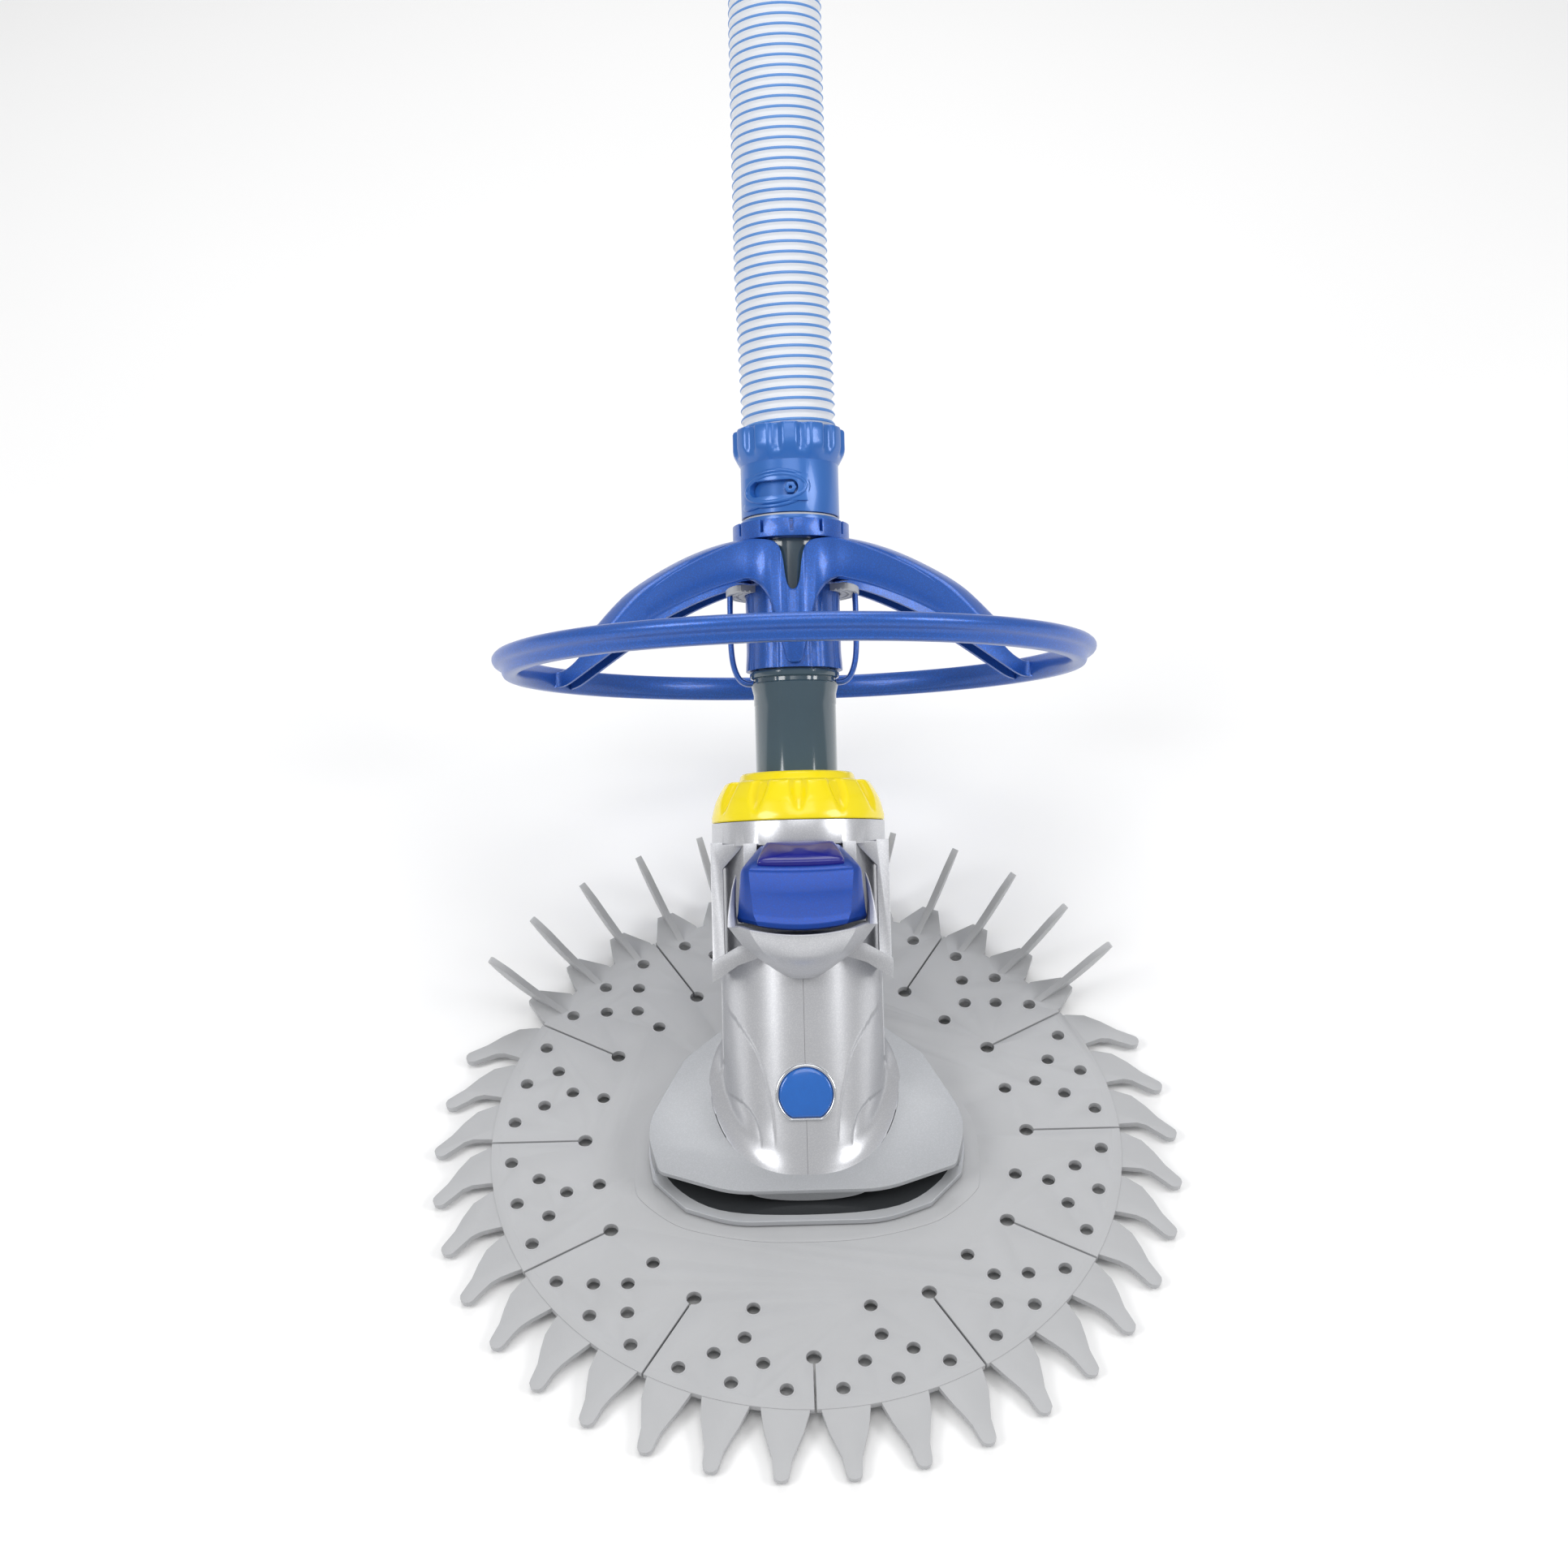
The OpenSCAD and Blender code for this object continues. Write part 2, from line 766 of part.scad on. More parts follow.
module outer_pipe() {
    color("darkslategray")
    difference() {
        union() {
            along_pipe(pipe_foot)
                cylinder(r = spigot_r, h = pipe_foot_t);
            along_pipe(pipe_foot)
                cylinder(r = pipe_r, h = pipe_top - pipe_foot);
            along_pipe(bead_top - 3.4)
                cylinder(r = bead_r, h = 3.4);
        }
        along_pipe(pipe_foot - 1)
            cylinder(r = pipe_r - pipe_wall, h = pipe_top);
    }
}

module inner_pipe() {
    color("lightgray")
    along_pipe(diaphragm_top)
        tube(inner_pipe_r, inner_pipe_r - 1.8, pipe_top - 6 - diaphragm_top);
}

module inner_pipe_seal() {
    color("black")
    along_pipe(pipe_top - 26)
        tube(pipe_r - pipe_wall, inner_pipe_r, 5);
}

// ---------- Deflector wheel ----------

// Share of the way out along an arm.
function arm_out(r) = max(0, r - hub_r) / (ring_inner_r - hub_r);
// Distance along the pipe of the top and of the lower edge of an arm at radius r.
function arm_top_l(r) = hub_top - (hub_top - ring_l - ring_h / 2) * pow(arm_out(r), 1.85);
function arm_low_l(r) = arm_root_l - (arm_root_l - ring_l + ring_h / 2) * pow(arm_out(r), 1.7);

// Side view of an arm between two radii, its roof lowered by "roof" and its edge by "edge".
function arm_outline(r0, r1, roof, edge, n = 9) =
    concat(
        [for (i = [0:n]) let (r = r0 + (r1 - r0) * i / n) [r, arm_top_l(r) - roof]],
        [for (i = [n:-1:0]) let (r = r0 + (r1 - r0) * i / n) [r, arm_low_l(r) - edge]]
    );

// An arm's side view thickened to width w, pointing to angle a from the front.
module arm_slab(a, outline, w) {
    rotate([0, 0, a])
        rotate([90, 0, -90])
            translate([0, 0, -w / 2])
                linear_extrude(height = w)
                    polygon(outline);
}

module deflector_wheel() {
    arms = [-rear_arm_deg, -front_arm_deg, front_arm_deg, rear_arm_deg];
    color("royalblue")
    along_pipe()
        difference() {
            union() {
                translate([0, 0, ring_l])
                    rotate_extrude($fn = 144)
                        polygon([
                            [ring_inner_r, -ring_h / 2], [ring_inner_r + 4, -ring_h / 2],
                            [ring_inner_r + 5, -1], [ring_r - 3, 0], [ring_r, 2],
                            [ring_r, ring_h / 2 - 2], [ring_r - 3, ring_h / 2],
                            [ring_inner_r + 2, ring_h / 2], [ring_inner_r, ring_h / 2 - 2]
                        ]);
                translate([0, 0, hub_foot])
                    cylinder(r = hub_r, h = hub_top - hub_foot);
                for (a = arms)
                    arm_slab(a, arm_outline(hub_bore_r, ring_inner_r + 1, 0, 0), arm_w);
            }
            for (a = arms)
                arm_slab(a, arm_outline(hub_r + 3, ring_inner_r - 4, 2.6, 20), arm_w - 4.6);
            translate([0, 0, hub_foot - 1])
                cylinder(r = hub_bore_r, h = 100);
            translate([-notch_w / 2, -60, notch_l])
                cube([notch_w, 60, 60]);
        }
}

module hub_retainer_ring() {
    color("lightgray")
    along_pipe(retainer_l)
        tube(clip_x + 3, hub_r, 4);
}

module snap_clips() {
    color("royalblue")
    along_pipe()
        for (a = [0, 180])
            rotate([0, 0, a])
                rotate([90, 0, 0])
                    translate([0, 0, -4])
                        linear_extrude(height = 8)
                            polygon([
                                [clip_x - 1, retainer_l], [clip_x + 1.2, retainer_l],
                                [clip_x + 1.2, hook_l + 15], [clip_x - 3, hook_l + 1],
                                [clip_x - 7, hook_l - 1.5], [pipe_r + 0.7, hook_l - 1.5],
                                [pipe_r + 0.7, hook_l + 1], [clip_x - 7, hook_l + 1],
                                [clip_x - 4.5, hook_l + 3], [clip_x - 1, hook_l + 15.5]
                            ]);
}

module lock_ring() {
    color("mediumblue")
    along_pipe(lock_ring_l)
        difference() {
            tube(lock_ring_r, pipe_r, lock_ring_h);
            for (i = [0:11])
                rotate([0, 0, i * 30])
                    translate([-1, -lock_ring_r - 1, 2.5])
                        cube([2, 5, lock_ring_h]);
        }
}

// ---------- Swivel, cuff and hose ----------

module swivel_adaptor() {
    color("steelblue")
    along_pipe(adaptor_l)
        difference() {
            union() {
                cylinder(r = adaptor_r, h = adaptor_h);
                cylinder(r = cuff_r, h = adaptor_foot_h);
            }
            translate([0, 0, -1])
                cylinder(r = pipe_r + run_gap, h = adaptor_h + 2);
            translate([0, 0, pin_l - adaptor_l])
                rotate([90, 0, 0])
                    cylinder(r = pin_shank_r, h = 40);
        }
}

module lock_pin() {
    color("steelblue")
    along_pipe(pin_l)
        rotate([90, 0, 0])
            difference() {
                union() {
                    translate([0, 0, pipe_r + run_gap + 0.3])
                        cylinder(r = pin_shank_r, h = 4);
                    translate([0, 0, adaptor_r + 0.1])
                        cylinder(r = pin_r, h = cuff_wall + 0.9, $fn = 6);
                }
                translate([0, 0, adaptor_r])
                    cylinder(r = 0.9, h = 8);
            }
}

module swivel_seal() {
    color("lightgray")
    along_pipe(adaptor_l + adaptor_foot_h)
        tube(cuff_r - 1, adaptor_r, 1.2);
}

// Slice of a round part between two angles from the front.
module sector_slice(from, to, h) {
    linear_extrude(height = h)
        polygon(concat([[0, 0]], [for (i = [0:6]) polar(60, from + (to - from) * i / 6)]));
}

module swivel_cuff() {
    slot_r = pin_r + 0.9;
    color("dodgerblue")
    along_pipe(cuff_l)
        difference() {
            union() {
                cylinder(r = cuff_r, h = cuff_h);
                intersection() {
                    translate([0, 0, pin_l - cuff_l - slot_r - 3])
                        cylinder(r = cuff_r + 1.6, h = 2 * slot_r + 6);
                    sector_slice(-lock_travel - 18, 20, cuff_h);
                }
            }
            translate([0, 0, -1])
                cylinder(r = adaptor_r + run_gap, h = cuff_h + 2);
            intersection() {
                translate([0, 0, pin_l - cuff_l - slot_r])
                    cylinder(r = 60, h = 2 * slot_r);
                translate([0, 0, -1])
                    sector_slice(-lock_travel, 0, cuff_h);
            }
            for (a = [-lock_travel, 0])
                rotate([0, 0, a])
                    translate([0, 0, pin_l - cuff_l])
                        rotate([90, 0, 0])
                            cylinder(r = slot_r, h = 60);
        }
}

module cuff_collar() {
    color("dodgerblue")
    along_pipe(collar_base)
        difference() {
            rotate_extrude()
                polygon([
                    [end_bore_r, 0], [cuff_r, 0], [cuff_r + 0.6, 1], [collar_r - 1, 5],
                    [collar_r, 8], [collar_r, collar_h - 1], [collar_r - 1, collar_h],
                    [end_bore_r, collar_h]
                ]);
            for (i = [0:11])
                rotate([0, 0, (i + 0.5) * 30])
                    translate([0, -collar_r - 2.2, 4])
                        cylinder(r = 4, h = collar_h);
        }
}

// Point of the hose route at a whole index, held at both ends.
function route_at(i) = hose_route[max(0, min(len(hose_route) - 1, i))];

// Direction of the hose at a point of its route.
function route_dir(i) = unit(route_at(i + 1) - route_at(i - 1));

// One ring of radius r round the hose, square to its route.
function hose_ring(i, r) =
    let (d = route_dir(i), u = unit(cross([0, 1, 0], d)), v = cross(d, u))
    [for (k = [0:hose_sides - 1])
        route_at(i) + r * (cos(k * 360 / hose_sides) * u + sin(k * 360 / hose_sides) * v)];

module hose() {
    n = len(hose_route);
    m = hose_sides;
    inner = n * m;
    last = (n - 1) * m;
    points = concat(
        [for (i = [0:n - 1]) each hose_ring(i, hose_r)],
        [for (i = [0:n - 1]) each hose_ring(i, hose_bore_r)]
    );
    faces = [for (k = [0:m - 1]) let (q = (k + 1) % m) each concat(
        [for (i = [0:m:last - m]) [i + k, i + m + k, i + m + q, i + q]],
        [for (i = [inner:m:inner + last - m]) [i + q, i + m + q, i + m + k, i + k]],
        [[k, q, inner + q, inner + k]],
        [[last + q, last + k, inner + last + k, inner + last + q]]
    )];
    color("aliceblue")
    along_pipe(hose_l)
        polyhedron(points = points, faces = faces);
}

module hose_end_cuff() {
    color("dodgerblue")
    along_pipe(hose_l + hose_route[len(hose_route) - 1].z)
        difference() {
            union() {
                cylinder(r = hose_r + 2.5, h = 16);
                cylinder(r = end_bore_r + 4, h = end_cuff_len);
            }
            translate([0, 0, -1])
                cylinder(r = end_bore_r, h = end_cuff_len + 2);
        }
}

// ---------- Assembly ----------

foot_pad();
foot_retaining_ring();
throat_neck();
finned_disc();
disc_bush();
mouth_plate();
flange_plate();
body_left_shell();
body_right_shell();
body_screws();
badge_bezel();
badge();
head_frame();
bumper_cradle();
bumper_cap();
cap_lens();
nose_weight();
cassette_guide();
diaphragm();
diaphragm_ring();
nut_gasket();
retaining_nut();
outer_pipe();
inner_pipe();
inner_pipe_seal();
deflector_wheel();
hub_retainer_ring();
snap_clips();
lock_ring();
swivel_adaptor();
lock_pin();
swivel_seal();
swivel_cuff();
cuff_collar();
hose();
hose_end_cuff();
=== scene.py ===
"""Suction pool cleaner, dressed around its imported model: disc, body, head, nut, wheel, cuff and hose."""

import json
import logging
import math
from dataclasses import dataclass, field
from enum import Enum
from typing import Callable, Iterable, Sequence

import bmesh
import bpy
from mathutils import Euler, Matrix, Vector

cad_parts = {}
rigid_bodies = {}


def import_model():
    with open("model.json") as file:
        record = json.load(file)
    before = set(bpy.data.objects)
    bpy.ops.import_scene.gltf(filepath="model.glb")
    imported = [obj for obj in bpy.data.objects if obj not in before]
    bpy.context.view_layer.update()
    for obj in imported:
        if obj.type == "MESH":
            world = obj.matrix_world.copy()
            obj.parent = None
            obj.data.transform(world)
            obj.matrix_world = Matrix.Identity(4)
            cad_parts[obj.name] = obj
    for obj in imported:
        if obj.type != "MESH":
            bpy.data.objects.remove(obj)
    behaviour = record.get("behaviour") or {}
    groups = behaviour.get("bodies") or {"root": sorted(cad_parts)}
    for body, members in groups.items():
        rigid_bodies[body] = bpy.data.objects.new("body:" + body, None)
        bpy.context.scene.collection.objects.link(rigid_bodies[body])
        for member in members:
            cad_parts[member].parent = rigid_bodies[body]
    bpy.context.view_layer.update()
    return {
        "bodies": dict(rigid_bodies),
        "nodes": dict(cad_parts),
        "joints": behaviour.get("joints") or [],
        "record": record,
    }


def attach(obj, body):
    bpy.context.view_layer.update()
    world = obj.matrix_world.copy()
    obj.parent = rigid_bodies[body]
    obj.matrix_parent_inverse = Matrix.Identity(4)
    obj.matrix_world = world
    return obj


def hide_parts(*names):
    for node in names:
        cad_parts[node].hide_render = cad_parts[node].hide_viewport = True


LOG = logging.getLogger("pool_cleaner")
MM = 0.001
TILT = math.radians(45)
DISC_TOP = 10.0
FLANGE_TOP = 30.0
LIP_TOP = 15.5

Point = tuple[float, float, float]
Line = Sequence[Sequence[float]]


# ---------------------------------------------------------------- places


def along_pipe(x: float, back: float, length: float) -> Vector:
    """A point of the pipe's own frame, in mm, as a point of the row frame in metres."""
    c, s = math.cos(TILT), math.sin(TILT)
    return Vector((x, back * c + length * s, DISC_TOP - back * s + length * c)) * MM


def upright(x: float, y: float, z: float) -> Vector:
    """A point of the row frame, in mm, in metres."""
    return Vector((x, y, z)) * MM


def round_the_badge(x: float, up: float, out: float) -> Vector:
    """A point of the badge's frame in mm: up runs along the pipe and out stands off its axis."""
    return along_pipe(x, -out, Badge.centre_l + up)


def round_pipe(angle: float, radius: float, length: float, x: float = 0.0) -> Vector:
    """A point round the pipe in mm: the angle is counted from the front and x shifts the axis sideways."""
    return along_pipe(x + radius * math.sin(angle), -radius * math.cos(angle), length)


def smoothed(points: Line, rounds: int = 2, closed: bool = True) -> list[tuple[float, ...]]:
    """Cuts the corners of a line of points, each round at a quarter of every side.

    Args:
        points: the corners, with any number of coordinates.
        rounds: how many times the corners are cut.
        closed: whether the last point joins the first.

    Returns:
        The smoother line.
    """
    line = [tuple(p) for p in points]
    for _ in range(rounds):
        pairs = list(zip(line, line[1:] + line[:1])) if closed else list(zip(line, line[1:]))
        cut: list[tuple[float, ...]] = [] if closed else [line[0]]
        for a, b in pairs:
            cut.append(tuple(0.75 * p + 0.25 * q for p, q in zip(a, b)))
            cut.append(tuple(0.25 * p + 0.75 * q for p, q in zip(a, b)))
        if not closed:
            cut.append(line[-1])
        line = cut
    return line


def along(points: Line, share: float) -> tuple[float, ...]:
    """The point at a share from 0 to 1 of a line of evenly counted points."""
    place = min(max(share, 0.0), 1.0) * (len(points) - 1)
    i = min(int(place), len(points) - 2)
    t = place - i
    return tuple((1 - t) * a + t * b for a, b in zip(points[i], points[i + 1]))


def both_sides(half: Line) -> list[tuple[float, ...]]:
    """A right half, from the middle outwards, followed by its mirror image back to the middle."""
    return list(half) + [(-p[0], *p[1:]) for p in reversed(half[1:])]


def across(before: Sequence[float], after: Sequence[float]) -> tuple[float, float]:
    """Unit vector square to the way from one flat point to another."""
    dx, dy = after[0] - before[0], after[1] - before[1]
    size = math.hypot(dx, dy)
    return -dy / size, dx / size


def off_hollow(angle: float, count: int, shift: float = 0.0) -> float:
    """How far an angle lies from the nearest of evenly spaced hollows: 0 at one and 1 midway between two."""
    turn = (angle * count / (2 * math.pi) + shift) % 1.0
    return min(turn, 1 - turn) * 2


def step(low: float, high: float, value: float) -> float:
    """0 below low, 1 above high and a smooth rise between them."""
    t = min(max((value - low) / (high - low), 0.0), 1.0)
    return t * t * (3 - 2 * t)


# ---------------------------------------------------------------- finishes


class Sock:
    """An output socket of a node tree that can be used in sums and products."""

    def __init__(self, tree: bpy.types.NodeTree, socket: bpy.types.NodeSocket) -> None:
        """Wraps a socket of a tree."""
        self.tree = tree
        self.socket = socket

    def _math(self, operation: str, first: "Sock | float", second: "Sock | float") -> "Sock":
        """Adds a Math node and gives its result."""
        node = self.tree.nodes.new("ShaderNodeMath")
        node.operation = operation
        for slot, value in zip(node.inputs, (first, second)):
            if isinstance(value, Sock):
                self.tree.links.new(value.socket, slot)
            else:
                slot.default_value = value
        return Sock(self.tree, node.outputs[0])

    def __add__(self, other: "Sock | float") -> "Sock":
        """self + other."""
        return self._math("ADD", self, other)

    def __sub__(self, other: "Sock | float") -> "Sock":
        """self - other."""
        return self._math("SUBTRACT", self, other)

    def __rsub__(self, other: float) -> "Sock":
        """other - self."""
        return self._math("SUBTRACT", other, self)

    def __mul__(self, other: "Sock | float") -> "Sock":
        """self * other."""
        return self._math("MULTIPLY", self, other)

    __radd__ = __add__
    __rmul__ = __mul__

    def over(self, edge: float) -> "Sock":
        """1 where self is greater than edge, and 0 elsewhere."""
        return self._math("GREATER_THAN", self, edge)


class Shader:
    """Builds one material's nodes."""

    def __init__(self, name: str) -> None:
        """Starts a material with an empty tree that ends in a Principled shader."""
        self.material = bpy.data.materials.new(name)
        self.material.use_nodes = True
        self.tree = self.material.node_tree
        self.tree.nodes.clear()
        out = self.tree.nodes.new("ShaderNodeOutputMaterial")
        self.base = self.tree.nodes.new("ShaderNodeBsdfPrincipled")
        self.tree.links.new(self.base.outputs[0], out.inputs[0])

    def node(self, kind: str, settings: dict | None = None, output: int | str = 0, **sockets: object) -> Sock:
        """Adds a node.

        Args:
            kind: the node's type.
            settings: attributes set first.
            output: the output that is given back.
            **sockets: values or links by socket name, with _ for a space, or by number as i0, i1 and so on.

        Returns:
            The chosen output.
        """
        made = self.tree.nodes.new(kind)
        for key, value in (settings or {}).items():
            setattr(made, key, value)
        for key, value in sockets.items():
            number = key[1:] if key[0] == "i" else ""
            slot = made.inputs[int(number) if number.isdigit() else key.replace("_", " ")]
            if isinstance(value, Sock):
                self.tree.links.new(value.socket, slot)
            else:
                slot.default_value = value
        return Sock(self.tree, made.outputs[output])

    def place(self) -> Sock:
        """Object coordinates."""
        return self.node("ShaderNodeTexCoord", output="Object")

    def noise(self, size: float, detail: float = 3.0, rough: float = 0.55) -> Sock:
        """Noise whose lumps are about size metres across."""
        place = self.place()
        return self.node("ShaderNodeTexNoise", Vector=place, Scale=1 / size, Detail=detail, Roughness=rough)

    def mix(self, share: Sock, first: Sequence[float] | Sock, second: Sequence[float] | Sock) -> Sock:
        """A colour between two, by a share."""
        return self.node("ShaderNodeMix", {"data_type": "RGBA"}, output=2, i0=share, i6=first, i7=second)

    def feed(self, socket: str, value: Sock | float | Sequence[float]) -> None:
        """Sets or links a socket of the Principled shader."""
        if isinstance(value, Sock):
            self.tree.links.new(value.socket, self.base.inputs[socket])
        else:
            self.base.inputs[socket].default_value = value


def linear(colour: tuple[int, int, int], gain: float = 1.0) -> tuple[float, float, float, float]:
    """A display colour from 0 to 255 as linear light."""
    light = [min(gain * (c / 255) ** 2.2, 1.0) for c in colour]
    return (light[0], light[1], light[2], 1.0)


@dataclass(frozen=True)
class Finish:
    """One surface finish of the object.

    Colours are display colours from 0 to 255, and sizes are in metres.
    """

    name: str
    colour: tuple[int, int, int]
    roughness: float
    metallic: float = 0.0
    coat: float = 0.0
    specular: float = 0.5
    mottle: float = 0.05
    mottle_size: float = 0.03
    grain: float = 0.00004
    grain_size: float = 0.0012
    flakes: float = 0.0
    flake_size: float = 0.0004
    flake_edge: float = 0.72
    flake_gain: float = 1.9
    smears: float = 0.06
    coat_roughness: float = 0.08

    def build(self) -> bpy.types.Material:
        """Makes the material: cloudy colour, uneven gloss, fine grain, and flakes where it has them."""
        s = Shader(self.name)
        clouds = s.noise(self.mottle_size)
        dark, light = (linear(self.colour, 1 + sign * 2 * self.mottle) for sign in (-1, 1))
        colour = s.mix(clouds, dark, light)
        streaks = s.noise(self.mottle_size * 0.35, 5.0, 0.7)
        rough = streaks * self.smears + (self.roughness - self.smears / 2)
        if self.flakes:
            scale = 1 / self.flake_size
            specks = s.node("ShaderNodeTexVoronoi", output="Color", Vector=s.place(), Scale=scale)
            grey = s.node("ShaderNodeSeparateColor", i0=specks)
            flake = grey.over(self.flake_edge) * self.flakes
            colour = s.mix(flake, colour, linear(self.colour, self.flake_gain))
            s.feed("Metallic", flake * 0.6 + self.metallic)
        else:
            s.feed("Metallic", self.metallic)
        s.feed("Base Color", colour)
        s.feed("Roughness", rough)
        s.feed("Coat Weight", self.coat)
        s.feed("Coat Roughness", self.coat_roughness)
        s.feed("Specular IOR Level", self.specular)
        bumps = s.noise(self.grain_size, 2.0)
        s.feed("Normal", s.node("ShaderNodeBump", Strength=1.0, Distance=self.grain, Height=bumps))
        return s.material


class Look(Enum):
    """The finishes that the pieces choose from."""

    DISC = Finish("disc_rubber", (179, 180, 182), 0.46, mottle=0.03, grain=0.00005, grain_size=0.0016)
    FOOT = Finish("foot_rubber", (110, 112, 115), 0.6)
    SILVER = Finish(
        "body_silver", (200, 201, 205), 0.30, metallic=0.55, mottle=0.02, grain=0.00001, flakes=0.18
    )
    FLANGE = Finish(
        "flange_silver", (172, 174, 177), 0.38, metallic=0.3, mottle=0.02, grain=0.00001, flakes=0.1
    )
    LIP = Finish("lip_silver", (190, 192, 195), 0.30, metallic=0.45, mottle=0.02, grain=0.00001)
    WHEEL = Finish(
        "wheel_blue", (44, 88, 168), 0.34, metallic=0.2, coat=0.25, mottle=0.04, grain=0.00001, flakes=0.5
    )
    CAP = Finish(
        "cap_blue", (24, 66, 152), 0.3, metallic=0.3, coat=0.12, mottle=0.03, grain=0.00001, flakes=0.3
    )
    LENS = Finish("lens_blue", (34, 34, 128), 0.16, coat=0.3, mottle=0.08, mottle_size=0.012, grain=0.0)
    CUFF = Finish("cuff_blue", (52, 108, 186), 0.30, metallic=0.15, coat=0.3, mottle=0.04, grain=0.00002)
    HOSE = Finish("hose_white", (226, 229, 234), 0.42, mottle=0.02, grain=0.00002)
    LINE = Finish("hose_blue_line", (88, 140, 206), 0.36, mottle=0.04, grain=0.00002)
    NUT = Finish("nut_yellow", (255, 228, 0), 0.24, coat=0.3, mottle=0.03, grain=0.00001)
    PIPE = Finish("pipe_slate", (66, 86, 98), 0.12, coat=0.8, mottle=0.06, grain=0.00001)
    BEZEL = Finish("badge_rim", (215, 217, 220), 0.16, metallic=0.85, mottle=0.02, grain=0.0)
    BADGE = Finish(
        "badge_blue", (34, 98, 182), 0.14, coat=0.8, mottle=0.06, mottle_size=0.01, grain=0.0, flakes=0.25
    )
    WASHER = Finish("washer_grey", (188, 190, 192), 0.4, mottle=0.03)
    INNER = Finish("inner_white", (225, 225, 222), 0.45)
    BLACK = Finish("gasket_black", (24, 24, 25), 0.55)
    # painted shade: a dark grey that stands for the shade and dark reflection in the recess under the flange
    SHADE = Finish("mouth_shade", (52, 54, 56), 0.22, coat=0.4)
    STEEL = Finish("screw_steel", (170, 172, 175), 0.3, metallic=1.0, mottle=0.03)
    IRON = Finish("weight_iron", (90, 90, 92), 0.6, metallic=0.7, grain=0.0002, grain_size=0.003)


_MADE: dict[Look, bpy.types.Material] = {}


def material(look: Look) -> bpy.types.Material:
    """The material of a look, made once."""
    if look not in _MADE:
        _MADE[look] = look.value.build()
    return _MADE[look]


# ---------------------------------------------------------------- mesh work


def placed(name: str, data: bpy.types.ID) -> bpy.types.Object:
    """Adds an object with its data to the scene, at the origin."""
    made = bpy.data.objects.new(name, data)
    bpy.context.scene.collection.objects.link(made)
    return made


def finished(
    name: str, verts: Iterable[Vector], faces: Iterable[Sequence[int]], looks: Sequence[Look],
    pick: Callable[[int], int] | None = None, sharp: float = 40.0, merge: float = 1e-6,
) -> bpy.types.Object:
    """Turns points and faces into a closed, smooth-shaded object at the origin.

    Args:
        name: the piece's name.
        verts: points in the row frame, in metres.
        faces: corner numbers of each face.
        looks: the finishes of the material slots.
        pick: gives a face's slot from its number.
        sharp: angle in degrees over which an edge stays sharp.
        merge: distance under which points join.

    Returns:
        The new object.
    """
    mesh = bpy.data.meshes.new(name)
    mesh.from_pydata([tuple(v) for v in verts], [], [tuple(f) for f in faces])
    for look in looks:
        mesh.materials.append(material(look))
    if pick:
        for polygon in mesh.polygons:
            polygon.material_index = pick(polygon.index)
    work = bmesh.new()
    work.from_mesh(mesh)
    bmesh.ops.remove_doubles(work, verts=work.verts, dist=merge)
    bmesh.ops.dissolve_degenerate(work, edges=work.edges, dist=merge)
    bmesh.ops.recalc_face_normals(work, faces=work.faces)
    work.to_mesh(mesh)
    work.free()
    mesh.shade_smooth()
    mesh.set_sharp_from_angle(angle=math.radians(sharp))
    return placed(name, mesh)


def lattice(
    rows: int, columns: int, close_rows: bool = False, close_columns: bool = True, caps: bool = False
) -> list[list[int]]:
    """Faces of a net of points that is stored row by row.

    Args:
        rows: number of rows.
        columns: points in a row.
        close_rows: whether the last row joins the first.
        close_columns: whether a row's last point joins its first.
        caps: whether the first and the last row are closed by a face each.

    Returns:
        The faces.
    """
    faces = []
    for i in range(rows if close_rows else rows - 1):
        for k in range(columns if close_columns else columns - 1):
            a, b = i * columns, ((i + 1) % rows) * columns
            q = (k + 1) % columns
            faces.append([a + k, a + q, b + q, b + k])
    if caps:
        faces.append(list(range(columns)))
        faces.append([(rows - 1) * columns + k for k in range(columns)])
    return faces


def turned(
    name: str, profile: Sequence[Sequence[float]], look: Look,
    place: Callable[[float, float, float], Vector] = along_pipe, sides: int = 96,
    shape: Callable[[float, float, float], float] | None = None, sharp: float = 35.0,
) -> bpy.types.Object:
    """A closed profile turned about an axis, as on a lathe.

    Args:
        name: the piece's name.
        profile: (radius, height) corners of the closed section, in mm.
        look: its finish.
        place: maps the lathe's own x, y and z in mm to the row frame.
        sides: number of steps round.
        shape: gives the radius from the angle, the radius and the height.
        sharp: angle in degrees over which an edge stays sharp.

    Returns:
        The new object.
    """
    verts = []
    for i in range(sides):
        a = 2 * math.pi * i / sides
        for r, z in profile:
            rr = shape(a, r, z) if shape else r
            verts.append(place(rr * math.sin(a), -rr * math.cos(a), z))
    return finished(name, verts, lattice(sides, len(profile), close_rows=True), [look], sharp=sharp)


def swept(
    name: str, loops: Sequence[Sequence[Vector]], look: Look, sharp: float = 40.0, hoop: bool = False
) -> bpy.types.Object:
    """A solid through closed loops of equally many points.

    Args:
        name: the piece's name.
        loops: the loops in order.
        look: its finish.
        sharp: angle in degrees over which an edge stays sharp.
        hoop: whether the last loop joins the first; otherwise both ends are capped.

    Returns:
        The new object.
    """
    verts = [v for loop in loops for v in loop]
    faces = lattice(len(loops), len(loops[0]), close_rows=hoop, caps=not hoop)
    return finished(name, verts, faces, [look], sharp=sharp)


